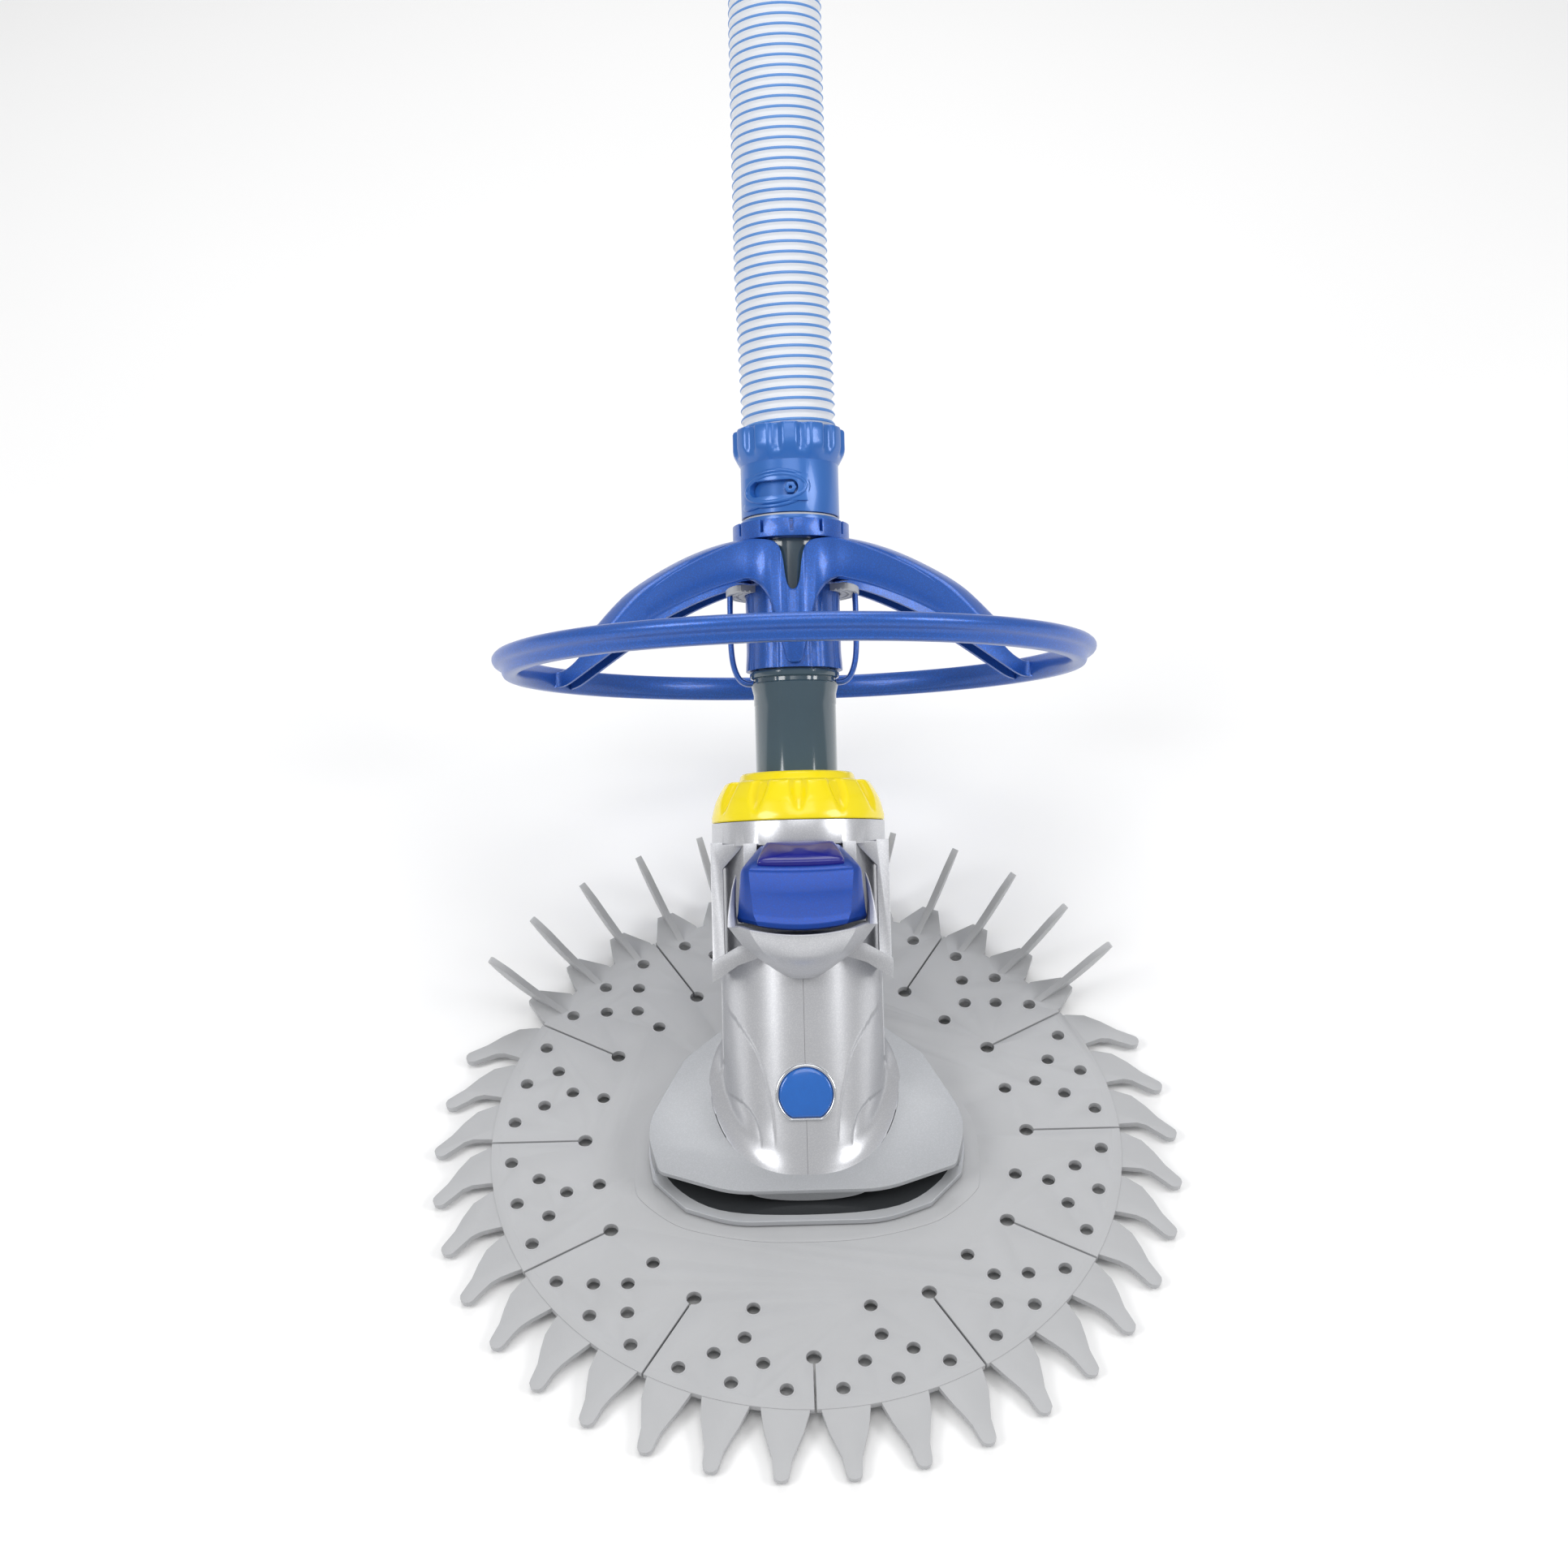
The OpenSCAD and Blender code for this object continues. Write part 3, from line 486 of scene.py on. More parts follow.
def joined(name: str, parts: Sequence[bpy.types.Object]) -> bpy.types.Object:
    """Joins objects into one that keeps their materials."""
    work = bmesh.new()
    mesh = bpy.data.meshes.new(name)
    slots: list[bpy.types.Material] = []
    for part in parts:
        before = len(work.faces)
        work.from_mesh(part.data)
        work.faces.ensure_lookup_table()
        for face in work.faces[before:]:
            own = part.data.materials[face.material_index]
            if own not in slots:
                slots.append(own)
            face.material_index = slots.index(own)
        bpy.data.objects.remove(part)
    work.to_mesh(mesh)
    work.free()
    for own in slots:
        mesh.materials.append(own)
    return placed(name, mesh)


def applied(piece: bpy.types.Object) -> bpy.types.Object:
    """Applies a piece's modifiers to its mesh."""
    graph = bpy.context.evaluated_depsgraph_get()
    mesh = bpy.data.meshes.new_from_object(piece.evaluated_get(graph))
    piece.modifiers.clear()
    piece.data = mesh
    return piece


def eased(
    frame: dict, node: str, look: Look, width: float = 0.5, angle: float = 32.0, segments: int = 3
) -> bpy.types.Object:
    """A copy of a CAD node with its edges rounded, which stands for the node.

    Args:
        node: the node's name.
        look: the copy's finish.
        width: width of the rounding in mm.
        angle: angle in degrees from which an edge is rounded.
        segments: steps in the rounding.

    Returns:
        The new object.
    """
    mesh = frame["nodes"][node].data.copy()
    mesh.materials.clear()
    mesh.materials.append(material(look))
    work = bmesh.new()
    work.from_mesh(mesh)
    bmesh.ops.remove_doubles(work, verts=work.verts, dist=2e-6)
    bmesh.ops.dissolve_degenerate(work, edges=work.edges, dist=2e-6)
    bmesh.ops.dissolve_limit(
        work, angle_limit=math.radians(1.5), verts=work.verts, edges=work.edges, use_dissolve_boundaries=False
    )
    work.to_mesh(mesh)
    work.free()
    piece = placed(f"{node}_eased", mesh)
    mesh.shade_smooth()
    bevel = piece.modifiers.new("edges", "BEVEL")
    bevel.width = width * MM
    bevel.segments = segments
    bevel.limit_method = "ANGLE"
    bevel.angle_limit = math.radians(angle)
    applied(piece)
    piece.data.shade_smooth()
    piece.data.set_sharp_from_angle(angle=math.radians(38))
    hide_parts(node)
    return piece


def repeated(name: str, points: Sequence[Vector], source: bpy.types.Object, look: Look) -> bpy.types.Object:
    """Puts a small piece on every point with Geometry Nodes and bakes the result to one mesh.

    Args:
        name: name of the result.
        points: places in the row frame.
        source: the small piece, drawn at the origin, which is removed afterwards.
        look: finish of the copies.

    Returns:
        The new object.
    """
    mesh = bpy.data.meshes.new(name)
    mesh.from_pydata([tuple(p) for p in points], [], [])
    piece = placed(name, mesh)
    tree = bpy.data.node_groups.new(f"{name}_copies", "GeometryNodeTree")
    face = tree.interface
    face.new_socket("Geometry", in_out="INPUT", socket_type="NodeSocketGeometry")
    size = face.new_socket("Copy size", in_out="INPUT", socket_type="NodeSocketFloat")
    size.default_value = 1.0
    face.new_socket("Geometry", in_out="OUTPUT", socket_type="NodeSocketGeometry")
    start = tree.nodes.new("NodeGroupInput")
    info = tree.nodes.new("GeometryNodeObjectInfo")
    info.inputs["Object"].default_value = source
    put = tree.nodes.new("GeometryNodeInstanceOnPoints")
    real = tree.nodes.new("GeometryNodeRealizeInstances")
    paint = tree.nodes.new("GeometryNodeSetMaterial")
    paint.inputs["Material"].default_value = material(look)
    end = tree.nodes.new("NodeGroupOutput")
    link = tree.links.new
    link(start.outputs["Geometry"], put.inputs["Points"])
    link(info.outputs["Geometry"], put.inputs["Instance"])
    link(start.outputs["Copy size"], put.inputs["Scale"])
    link(put.outputs[0], real.inputs[0])
    link(real.outputs[0], paint.inputs["Geometry"])
    link(paint.outputs[0], end.inputs[0])
    modifier = piece.modifiers.new("copies", "NODES")
    modifier.node_group = tree
    modifier[size.identifier] = 1.0
    applied(piece)
    piece.data.shade_smooth()
    piece.data.set_sharp_from_angle(angle=math.radians(35))
    bpy.data.objects.remove(source)
    return piece


def ride(piece: bpy.types.Object, body: str, slot: str, *nodes: str) -> bpy.types.Object:
    """Puts a piece on a body, hides the CAD nodes it stands for, and reports it."""
    if nodes:
        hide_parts(*nodes)
    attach(piece, body)
    LOG.info("%s rides on %s", piece.name, body)
    return piece


# ---------------------------------------------------------------- stage


@dataclass
class Studio:
    """Camera, floor and lights."""

    lens: float = 51.95
    sensor: float = 36.0
    eye: Point = (-0.01527, -0.79340, 0.98322)
    turn: Point = (48.017, 0.791, -1.204)
    floor_size: float = 9.0
    aim: Point = (0.0, 0.12, 0.15)
    room_light: float = 0.42
    lamps: tuple[tuple[str, Point, float, float], ...] = (
        ("key", (-1.5, -0.7, 1.6), 0.9, 17.0),
        ("fill", (1.6, -0.5, 1.4), 0.8, 14.0),
        ("front", (0.1, -0.5, 2.6), 1.6, 16.0),
        ("rim", (0.0, 1.7, 1.8), 1.4, 15.0),
    )

    def camera(self) -> None:
        """Sets the camera at its place, turned by degrees about X, Y and Z."""
        data = bpy.data.cameras.new("camera")
        data.lens = self.lens
        data.sensor_width = self.sensor
        data.clip_end = 50
        eye = placed("camera", data)
        turn = Euler([math.radians(v) for v in self.turn])
        eye.matrix_world = Matrix.Translation(self.eye) @ turn.to_matrix().to_4x4()
        bpy.context.scene.camera = eye

    def floor(self) -> None:
        """Lays a flat pale floor."""
        half = self.floor_size / 2
        verts = [Vector((x, y, 0.0)) for y in (-half, half) for x in (-half, half)]
        s = Shader("floor_white")
        s.feed("Base Color", s.mix(s.noise(0.8), (0.93, 0.93, 0.93, 1), (0.96, 0.96, 0.96, 1)))
        s.feed("Roughness", 0.9)
        mesh = bpy.data.meshes.new("floor")
        mesh.from_pydata([tuple(v) for v in verts], [], [(0, 1, 3, 2)])
        mesh.materials.append(s.material)
        placed("floor", mesh)

    def lamp(self, name: str, place: Point, size: float, power: float) -> None:
        """Adds a square soft light that looks at the object."""
        data = bpy.data.lights.new(name, "AREA")
        data.size = size
        data.energy = power
        lamp = placed(name, data)
        lamp.location = place
        lamp.rotation_euler = (Vector(self.aim) - Vector(place)).to_track_quat("-Z", "Y").to_euler()

    def build(self) -> None:
        """Sets up floor, lights and the white surroundings."""
        self.floor()
        for lamp in self.lamps:
            self.lamp(*lamp)
        world = bpy.data.worlds.new("white_room")
        world.use_nodes = True
        colour, strength = world.node_tree.nodes["Background"].inputs[:2]
        colour.default_value = (1, 1, 1, 1)
        strength.default_value = self.room_light
        bpy.context.scene.world = world
        bpy.context.scene.view_settings.view_transform = "Standard"


# ---------------------------------------------------------------- hose


@dataclass
class Hose:
    """Ribbed hose from the collar up to its end cuff. Lengths are in mm."""

    start: float = 389.4
    length: float = 324.0
    crest_r: float = 26.3
    valley_r: float = 24.7
    inner_r: float = 17.8
    pitch: float = 5.8
    sides: int = 72
    steps: int = 10
    drift: tuple[float, ...] = (
        0, 0, -0.5, -1, -1.5, -2, -2, -2, -2, -2, -2, -2, -2, -2, -1.5, -1, -0.5, 0, 0
    )

    def centre(self, length: float) -> Point:
        """The hose's own centre line in the pipe's frame."""
        x = along([(d,) for d in self.drift], length / self.length)[0]
        return (x, 0.0, self.start + length)

    def circle(self, radius: float, length: float) -> list[Vector]:
        """Points of a circle round the centre line."""
        x, _, l = self.centre(length)
        return [round_pipe(2 * math.pi * k / self.sides, radius, l, x) for k in range(self.sides)]

    def section(self, turn: float) -> float:
        """Radius at a share of one rib, with a raised lip on a broad round crest."""
        crest = max(0.0, math.sin(math.pi * min(turn / 0.62, 1.0))) ** 0.5
        lip = math.exp(-(((turn - 0.31) / 0.09) ** 2))
        return self.valley_r + (self.crest_r - self.valley_r - 0.5) * crest + 0.5 * lip

    def build(self) -> bpy.types.Object:
        rows = int(self.length / self.pitch * self.steps) + self.steps + 1
        verts: list[Vector] = []
        lips: list[bool] = []
        for i in range(rows):
            share = (i % self.steps) / self.steps
            for k in range(self.sides):
                a = 2 * math.pi * k / self.sides
                z = (i / self.steps - 1 + k / self.sides) * self.pitch
                x, _, l = self.centre(min(max(z, 0.0), self.length))
                verts.append(round_pipe(a, self.section(share), l, x))
            lips.append(0.15 < share < 0.45)
        faces: list[list[int]] = []
        blue: list[bool] = []
        for i in range(rows - 1):
            for k in range(self.sides):
                n = i * self.sides + k
                m = n + 1
                if m % self.sides == 0:
                    m = (i + self.steps) * self.sides
                if m + self.sides < len(verts):
                    faces.append([n, m, m + self.sides, n + self.sides])
                    blue.append(lips[i])
        bore = len(verts)
        radii = (self.valley_r, self.inner_r, self.inner_r, self.valley_r)
        for r, z in zip(radii, (0.0, 0.0, self.length, self.length)):
            verts += self.circle(r, z)
        faces += [[bore + n for n in f] for f in lattice(4, self.sides)]
        looks = [Look.HOSE, Look.LINE]
        return finished("hose_ribbed", verts, faces, looks, lambda n: int(n < len(blue) and blue[n]), 60)

    def fit(self, frame: dict) -> None:
        """Builds the hose and dresses its end cuff."""
        piece = ride(self.build(), "cuff", "hose_plastic", "hose")
        end = ride(eased(frame, "hose_end_cuff", Look.CUFF, 1.0), "cuff", "cuff_plastic")
        points = [along_pipe(*self.centre(self.length * i / 36)) for i in range(37)]
        tuple(points[0])
        [tuple(p) for p in points]


# ---------------------------------------------------------------- disc and foot


@dataclass
class Disc:
    """Finned disc with its vent rims and the raised pad under the mouth."""

    vent_r: float = 3.6
    sectors: int = 12
    vents: tuple[tuple[float, float], ...] = (
        (116, 15), (134, 15), (147, 10), (147, 20), (161, 5), (161, 15), (161, 25)
    )
    pad: tuple[tuple[float, float], ...] = (
        (0, -72), (30, -71), (62, -63), (74, -57), (90, -42), (93, -34),
        (94, -8), (92, 12), (78, 34), (62, 52)
    )

    def vent_rims(self) -> bpy.types.Object:
        """A low round-over at the mouth of every vent."""
        r = self.vent_r
        section = [(r - 0.02, -0.3), (r + 0.02, 0.06), (r + 0.35, 0.14), (r + 0.75, 0.1), (r + 1.0, -0.3)]
        rim = turned("vent_rim", section, Look.DISC, upright, 20)
        points = []
        for k in range(self.sectors):
            for radius, deg in self.vents:
                a = math.radians(k * 360 / self.sectors + deg)
                points.append(upright(radius * math.sin(a), -radius * math.cos(a), DISC_TOP))
        return repeated("vent_rims", points, rim, Look.DISC)

    def pad_edge(self) -> bpy.types.Object:
        """A low raised plate on the disc, a little wider than the mouth."""
        outline = smoothed(both_sides(self.pad), 2)
        rows = [(0.0, -0.2), (0.0, 0.35), (0.012, 0.6), (0.03, 0.62), (0.55, 0.62), (0.55, -0.2)]
        loops = [[upright(x * (1 - s), y * (1 - s), DISC_TOP + z) for x, y in outline] for s, z in rows]
        return swept("disc_pad", loops, Look.DISC, 50, hoop=True)

    def fit(self, frame: dict) -> None:
        """Dresses the disc and the foot."""
        ride(eased(frame, "finned_disc", Look.DISC, 0.45, 40, 2), "disc", "disc_rubber")
        ride(self.vent_rims(), "disc", "disc_rubber")
        ride(self.pad_edge(), "disc", "disc_rubber")
        ride(eased(frame, "disc_bush", Look.INNER, 0.3), "disc", "bush_plastic")
        ride(eased(frame, "foot_pad", Look.FOOT, 0.6), "foot", "foot_rubber")
        ride(eased(frame, "foot_retaining_ring", Look.SILVER, 0.3), "cleaner_body", "body_plastic")
        ride(eased(frame, "throat_neck", Look.SILVER, 0.4), "cleaner_body", "body_plastic")


# ---------------------------------------------------------------- body


@dataclass
class Body:
    """Leaning tube with its skirt, its shaped front panel and the parting line."""

    radius: float = 44.5
    wall: float = 3.0
    top: float = 158.5
    heel_y: float = 62.0
    heel_slope: float = 30.0
    seam: float = 0.07
    skirt_w: float = 8.0
    skirt_h: float = 13.0
    panel_rise: float = 0.8
    crease_depth: float = 0.9
    panel: tuple[tuple[float, float], ...] = (
        (15.5, -20), (17.2, 12), (18.6, 22), (21.2, 32), (23.5, 42), (26.8, 51), (36.0, 64), (42.6, 73),
        (44.2, 80), (47.0, 170)
    )
    crease: tuple[tuple[float, float], ...] = (
        (22.5, -24), (24.0, 0), (25.4, 7), (28.4, 14.5), (34.0, 20.5), (41.4, 24.5), (47, 28)
    )
    mouth: tuple[tuple[float, float], ...] = (
        (0, -58.5), (40, -56.5), (61, -48), (78, -29.5), (80, -8), (74, 8), (50, 14), (0, 14)
    )
    panel_line: list[tuple[float, ...]] = field(init=False)
    crease_line: list[tuple[float, ...]] = field(init=False)

    def __post_init__(self) -> None:
        """Smooths the two moulded lines."""
        self.panel_line = smoothed(self.panel, 2, closed=False)
        self.crease_line = smoothed(self.crease, 2, closed=False)

    def line_at(self, points: Sequence[tuple[float, float]], length: float) -> float:
        """Half width of a moulded line at a distance along the pipe.

        Args:
            points: (half width, distance) corners of the line, from the bottom up.
            length: the distance along the pipe.

        Returns:
            The half width in mm.
        """
        for (x0, l0), (x1, l1) in zip(points, points[1:]):
            if l0 <= length <= l1:
                return x0 + (x1 - x0) * (length - l0) / max(l1 - l0, 1e-6)
        return points[-1][0]

    def moulding(self, x: float, length: float) -> float:
        """How far the surface lies below the middle panel at a half width x."""
        fade = step(-6.0, 14.0, length)
        drop = self.panel_rise * step(-0.35, 0.35, x - self.line_at(self.panel_line, length)) * fade
        low = x - self.line_at(self.crease_line, length)
        fade = (1 - step(20.0, 27.0, length)) * step(-4.0, 8.0, length)
        return drop + self.crease_depth * step(-0.3, 0.3, low) * math.exp(-max(low, 0.0) / 5.0) * fade

    def foot_l(self, back: float) -> float:
        """Where a line along the tube meets the flange or the heel."""
        c, s = math.cos(TILT), math.sin(TILT)
        t = math.tan(math.radians(self.heel_slope))
        level = (FLANGE_TOP - DISC_TOP + back * s) / c
        heel = (FLANGE_TOP - DISC_TOP - t * self.heel_y + back * (s + t * c)) / (c - t * s)
        return max(level, heel)

    def surface(self, a: float, share: float) -> Vector:
        """Point of the outside at angle a from the front and a share of the height."""
        behind = max(0.0, 1 + 2 * min(0.0, math.cos(a) + 0.5))
        flare = self.skirt_w * abs(math.sin(a)) ** 1.5 * behind
        base = self.foot_l(-(self.radius + flare) * math.cos(a))
        length = base + (self.top - base) * share
        lift = max(0.0, 1 - (length - base) / self.skirt_h)
        r = self.radius + flare * lift ** 2.2
        if math.cos(a) > 0:
            r -= self.moulding(abs(self.radius * math.sin(a)), length)
        return round_pipe(a, r, max(length, self.foot_l(-r * math.cos(a))))

    def mouth_floor(self) -> bpy.types.Object:
        """Dark sunken floor inside the lip: a sheet of painted shade and dark reflection for the recess under
        the flange, which leaves a bright edge all round.
        """
        outline = smoothed(both_sides(self.mouth), 2)
        rows = [(1.0, 0.0), (1.0, 0.25), (0.985, 0.3)]
        loops = [[upright(x * s, y * s, LIP_TOP + z - 0.05) for x, y in outline] for s, z in rows]
        return swept("mouth_floor", loops, Look.SHADE, 40)

    def tongue(self) -> bpy.types.Object:
        """Curved front wall of the throat, which hangs below the flange."""
        loops = []
        for y in (-50.5, -49.6, -47.0):
            loop = []
            for i in range(33):
                t = math.pi * i / 32
                inset = 0.6 if y < -50 else 0.0
                z = FLANGE_TOP - 3.2 - (9.6 - inset) * math.sin(t)
                loop.append(upright(-(32 - inset) * math.cos(t), y, z))
            loops.append(loop)
        return swept("mouth_tongue", loops, Look.FLANGE, 40)

    def half(self, side: int) -> bpy.types.Object:
        """One moulded half; side is -1 for the left and 1 for the right."""
        columns, rows = 201, 110
        gap = self.seam / self.radius
        verts: list[Vector] = []
        for i in range(rows):
            share = (i / (rows - 1)) ** 1.5
            for k in range(columns):
                a = gap + (math.pi - 2 * gap) * k / (columns - 1)
                verts.append(self.surface(side * a, share))
        inner = self.radius - self.wall
        for i in range(2):
            for k in range(columns):
                a = side * (gap + (math.pi - 2 * gap) * k / (columns - 1))
                length = self.top if i == 0 else self.foot_l(-inner * math.cos(a))
                verts.append(round_pipe(a, inner, length))
        faces = lattice(rows + 2, columns, close_rows=True, close_columns=False)
        ends = [[i * columns for i in range(rows + 2)], [i * columns + columns - 1 for i in range(rows + 2)]]
        name = "body_left" if side < 0 else "body_right"
        return finished(name, verts, faces + ends, [Look.SILVER], sharp=50)

    def fit(self, frame: dict) -> None:
        """Dresses the body and what is inside it."""
        ride(self.half(-1), "cleaner_body", "body_plastic", "body_left_shell")
        ride(self.half(1), "cleaner_body", "body_plastic", "body_right_shell")
        ride(eased(frame, "flange_plate", Look.FLANGE, 0.8, 30, 3), "cleaner_body", "body_plastic")
        ride(self.mouth_floor(), "cleaner_body", "lip_plastic")
        ride(self.tongue(), "cleaner_body", "lip_plastic")
        ride(eased(frame, "mouth_plate", Look.LIP, 1.0, 30, 3), "cleaner_body", "lip_plastic")
        ride(eased(frame, "body_screws", Look.STEEL, 0.3), "cleaner_body", "steel")
        ride(eased(frame, "cassette_guide", Look.INNER, 0.4), "cleaner_body", "bush_plastic")
        ride(eased(frame, "diaphragm", Look.BLACK, 0.4), "cleaner_body", "black_rubber")
        ride(eased(frame, "diaphragm_ring", Look.INNER, 0.4), "cleaner_body", "bush_plastic")
        ride(eased(frame, "nut_gasket", Look.BLACK, 0.3), "cleaner_body", "black_rubber")


@dataclass
class Badge:
    """Round badge with a flat lower edge in a bright rim."""

    centre_l: float = 26.0
    radius: float = 14.2
    rim_r: float = 16.4
    chord: float = 0.84
    face: float = 46.2
    seat: float = 40.5
    dome: float = 1.5

    def outline(self, radius: float, steps: int = 96) -> list[tuple[float, float]]:
        """A circle cut off by its lower chord."""
        points = []
        for i in range(steps):
            a = 2 * math.pi * i / steps
            x, up = radius * math.sin(a), radius * math.cos(a)
            points.append((x, max(up, -radius * self.chord)))
        return points

    def rings(self, name: str, rows: Line, look: Look, close: bool) -> bpy.types.Object:
        """A stack of outlines, given as (radius, distance out), closed on itself or filled at the ends."""
        loops = [[round_the_badge(x, up, out) for x, up in self.outline(r)] for r, out in rows]
        return swept(name, loops, look, 45, hoop=close)

    def fit(self) -> None:
        """Makes the rim and the dome."""
        f, r, rim = self.face, self.radius, self.rim_r
        rows = [(rim, self.seat), (rim, f - 0.6), (rim - 0.4, f), (rim - 1.1, f + 0.25)]
        rows += [(r + 0.5, f), (r + 0.2, f - 0.5), (r + 0.2, self.seat)]
        ride(self.rings("badge_rim", rows, Look.BEZEL, True), "cleaner_body", "trim_metal", "badge_bezel")
        dome = [(r, self.seat + 0.3), (r, f - 0.5), (r - 0.5, f + 0.15)]
        dome += [(r * q, f + 0.15 + self.dome * (1 - q * q)) for q in (0.94, 0.85, 0.7, 0.5, 0.3, 0.1)]
        ride(self.rings("badge_dome", dome, Look.BADGE, False), "cleaner_body", "badge_plastic", "badge")


# ---------------------------------------------------------------- head


@dataclass
class Head:
    """Frame, cradle, cap and lens at the top of the body.

    A row gives the half width at the sides and at the front, the distance in front of the
    pipe's axis, and the length along the pipe.
    """

    back: float = 46.0
    cap_rows: tuple[tuple[float, float, float, float], ...] = (
        (31.6, 20.5, 76.6, 117.4), (33.4, 23.0, 78.0, 118.2), (34.0, 24.0, 78.4, 120.0),
        (33.8, 24.2, 78.2, 121.2), (33.4, 24.8, 77.6, 122.4), (33.2, 25.4, 77.2, 124.0),
        (32.4, 26.4, 76.0, 134.0), (31.8, 27.2, 74.8, 142.6), (31.4, 27.2, 74.2, 144.6),
        (30.4, 26.4, 72.8, 146.4), (26.4, 22.6, 63.0, 151.4), (21.6, 18.2, 52.0, 157.2),
        (20.4, 17.0, 49.0, 158.0)
    )
    bowl_rows: tuple[tuple[float, float, float, float], ...] = (
        (5.0, 2.5, 52.0, 87.4), (8.6, 4.5, 57.0, 88.4), (14.5, 8.0, 61.5, 92.2),
        (21.0, 12.5, 66.5, 96.8), (26.4, 16.5, 71.5, 101.0), (29.8, 19.5, 75.6, 104.4),
        (31.6, 21.0, 77.0, 106.0), (35.4, 24.5, 80.6, 111.0), (38.6, 27.0, 83.2, 115.4),
        (39.2, 27.4, 83.6, 116.4), (38.8, 27.0, 83.2, 117.0), (36.0, 25.0, 80.6, 117.0),
        (35.4, 24.6, 80.0, 116.4), (34.8, 24.0, 79.6, 112.0)
    )
    sag: float = 5.0
    bow: float = 0.72

    def ring(self, half: float, corner: float, front: float, length: float, sag: float) -> list[Vector]:
        """One level of the nose: a bowed front, two slanted corners and straight sides to the body.

        Args:
            half: half width at the sides.
            corner: half width of the front face.
            front: how far the front stands before the pipe's axis.
            length: level of the sides along the pipe.
            sag: how much lower the middle of the front lies than the sides.

        Returns:
            The points of the level.
        """
        chamfer = front - (half - corner) * 1.25
        line = [(corner * i / 6, front - self.bow * (i / 6) ** 2) for i in range(7)]
        bend = (half - 0.6, chamfer + 0.6)
        line += [((line[-1][0] + bend[0]) / 2, (line[-1][1] + bend[1]) / 2), bend]
        line += [(half, chamfer - 1.4), (half, (chamfer + self.back) / 2), (half, self.back)]
        deep = front - self.back
        points = []
        for x, f in both_sides(line):
            drop = sag * (1 - (x / half) ** 2) * min(1.0, max(0.0, (f - self.back) / deep)) ** 2
            points.append(along_pipe(x, -f, length - drop))
        return points

    def cap(self) -> bpy.types.Object:
        """The cap with its rounded lower band and its slope towards the lens."""
        loops = []
        for half, corner, front, length in self.cap_rows:
            fade = (1 - step(121.0, 140.0, length) * 0.72) * (1 - step(146.0, 156.0, length))
            loops.append(self.ring(half, corner, front, length, (self.sag - 0.6) * fade))
        return swept("cap_formed", loops, Look.CAP, 28)

    def lens(self) -> bpy.types.Object:
        """Domed lens on the slope of the cap."""
        loops = []
        corner_points = [
            (-22.0, 0.06), (22.0, 0.06), (23.2, 0.2), (18.6, 0.94),
            (17.4, 1.0), (-17.4, 1.0), (-18.6, 0.94), (-23.2, 0.2)
        ]
        outline = smoothed(corner_points, 3)
        dome = [(1.0, -1.0), (1.0, 0.7), (0.985, 1.3), (0.95, 1.8)]
        dome += [(0.86, 2.3), (0.66, 2.8), (0.4, 3.1), (0.1, 3.2)]
        for shrink, out in dome:
            loop = []
            for x, t in outline:
                tt = 0.5 + (t - 0.5) * shrink
                front, length = 72.6 - 22.0 * tt, 146.4 + 12.2 * tt
                loop.append(along_pipe(x * shrink, -(front + out * 0.49), length + out * 0.87))
            loops.append(loop)
        return swept("lens_domed", loops, Look.LENS, 45)

    def bowl(self) -> bpy.types.Object:
        """The cradle's bowl under the cap, with its crease and its hollow rim."""
        loops = []
        for half, corner, front, length in self.bowl_rows:
            sag = self.sag + 1.2 if length > 104 else (self.sag + 1.2) * step(86.0, 104.0, length)
            loops.append(self.ring(half, corner, front, length, sag))
        return swept("bowl_formed", loops, Look.SILVER, 30)

    def horn(self, side: int) -> bpy.types.Object:
        """Side of the cradle that rises beside the cap."""
        loops = []
        rows = [
            (39.0, 33.6, 80.0, 115.5), (38.8, 34.4, 73.5, 121.0), (38.0, 34.6, 67.0, 127.5),
            (36.8, 34.4, 61.0, 134.5), (35.6, 34.0, 55.5, 140.0), (34.8, 34.0, 51.0, 142.6)
        ]
        for out, inner, front, length in rows:
            corner_points = [(inner, front - 3.0), (out - 0.6, front), (out, front - 2.0)]
            section = smoothed(corner_points + [(out, self.back), (inner, self.back)], 1)
            loops.append([along_pipe(side * x, -f, length) for x, f in section])
        return swept("horn", loops, Look.SILVER, 35)

    def fit(self, frame: dict) -> None:
        """Dresses the head."""
        ride(eased(frame, "head_frame", Look.SILVER, 0.9, 30, 3), "cleaner_body", "body_plastic")
        cradle = joined("cradle_formed", [self.bowl(), self.horn(-1), self.horn(1)])
        ride(cradle, "cleaner_body", "body_plastic", "bumper_cradle")
        ride(self.cap(), "cleaner_body", "cap_plastic", "bumper_cap")
        ride(self.lens(), "cleaner_body", "lens_plastic", "cap_lens")
        ride(eased(frame, "nose_weight", Look.IRON, 0.6), "cleaner_body", "weight_iron")


# ---------------------------------------------------------------- nut and pipe


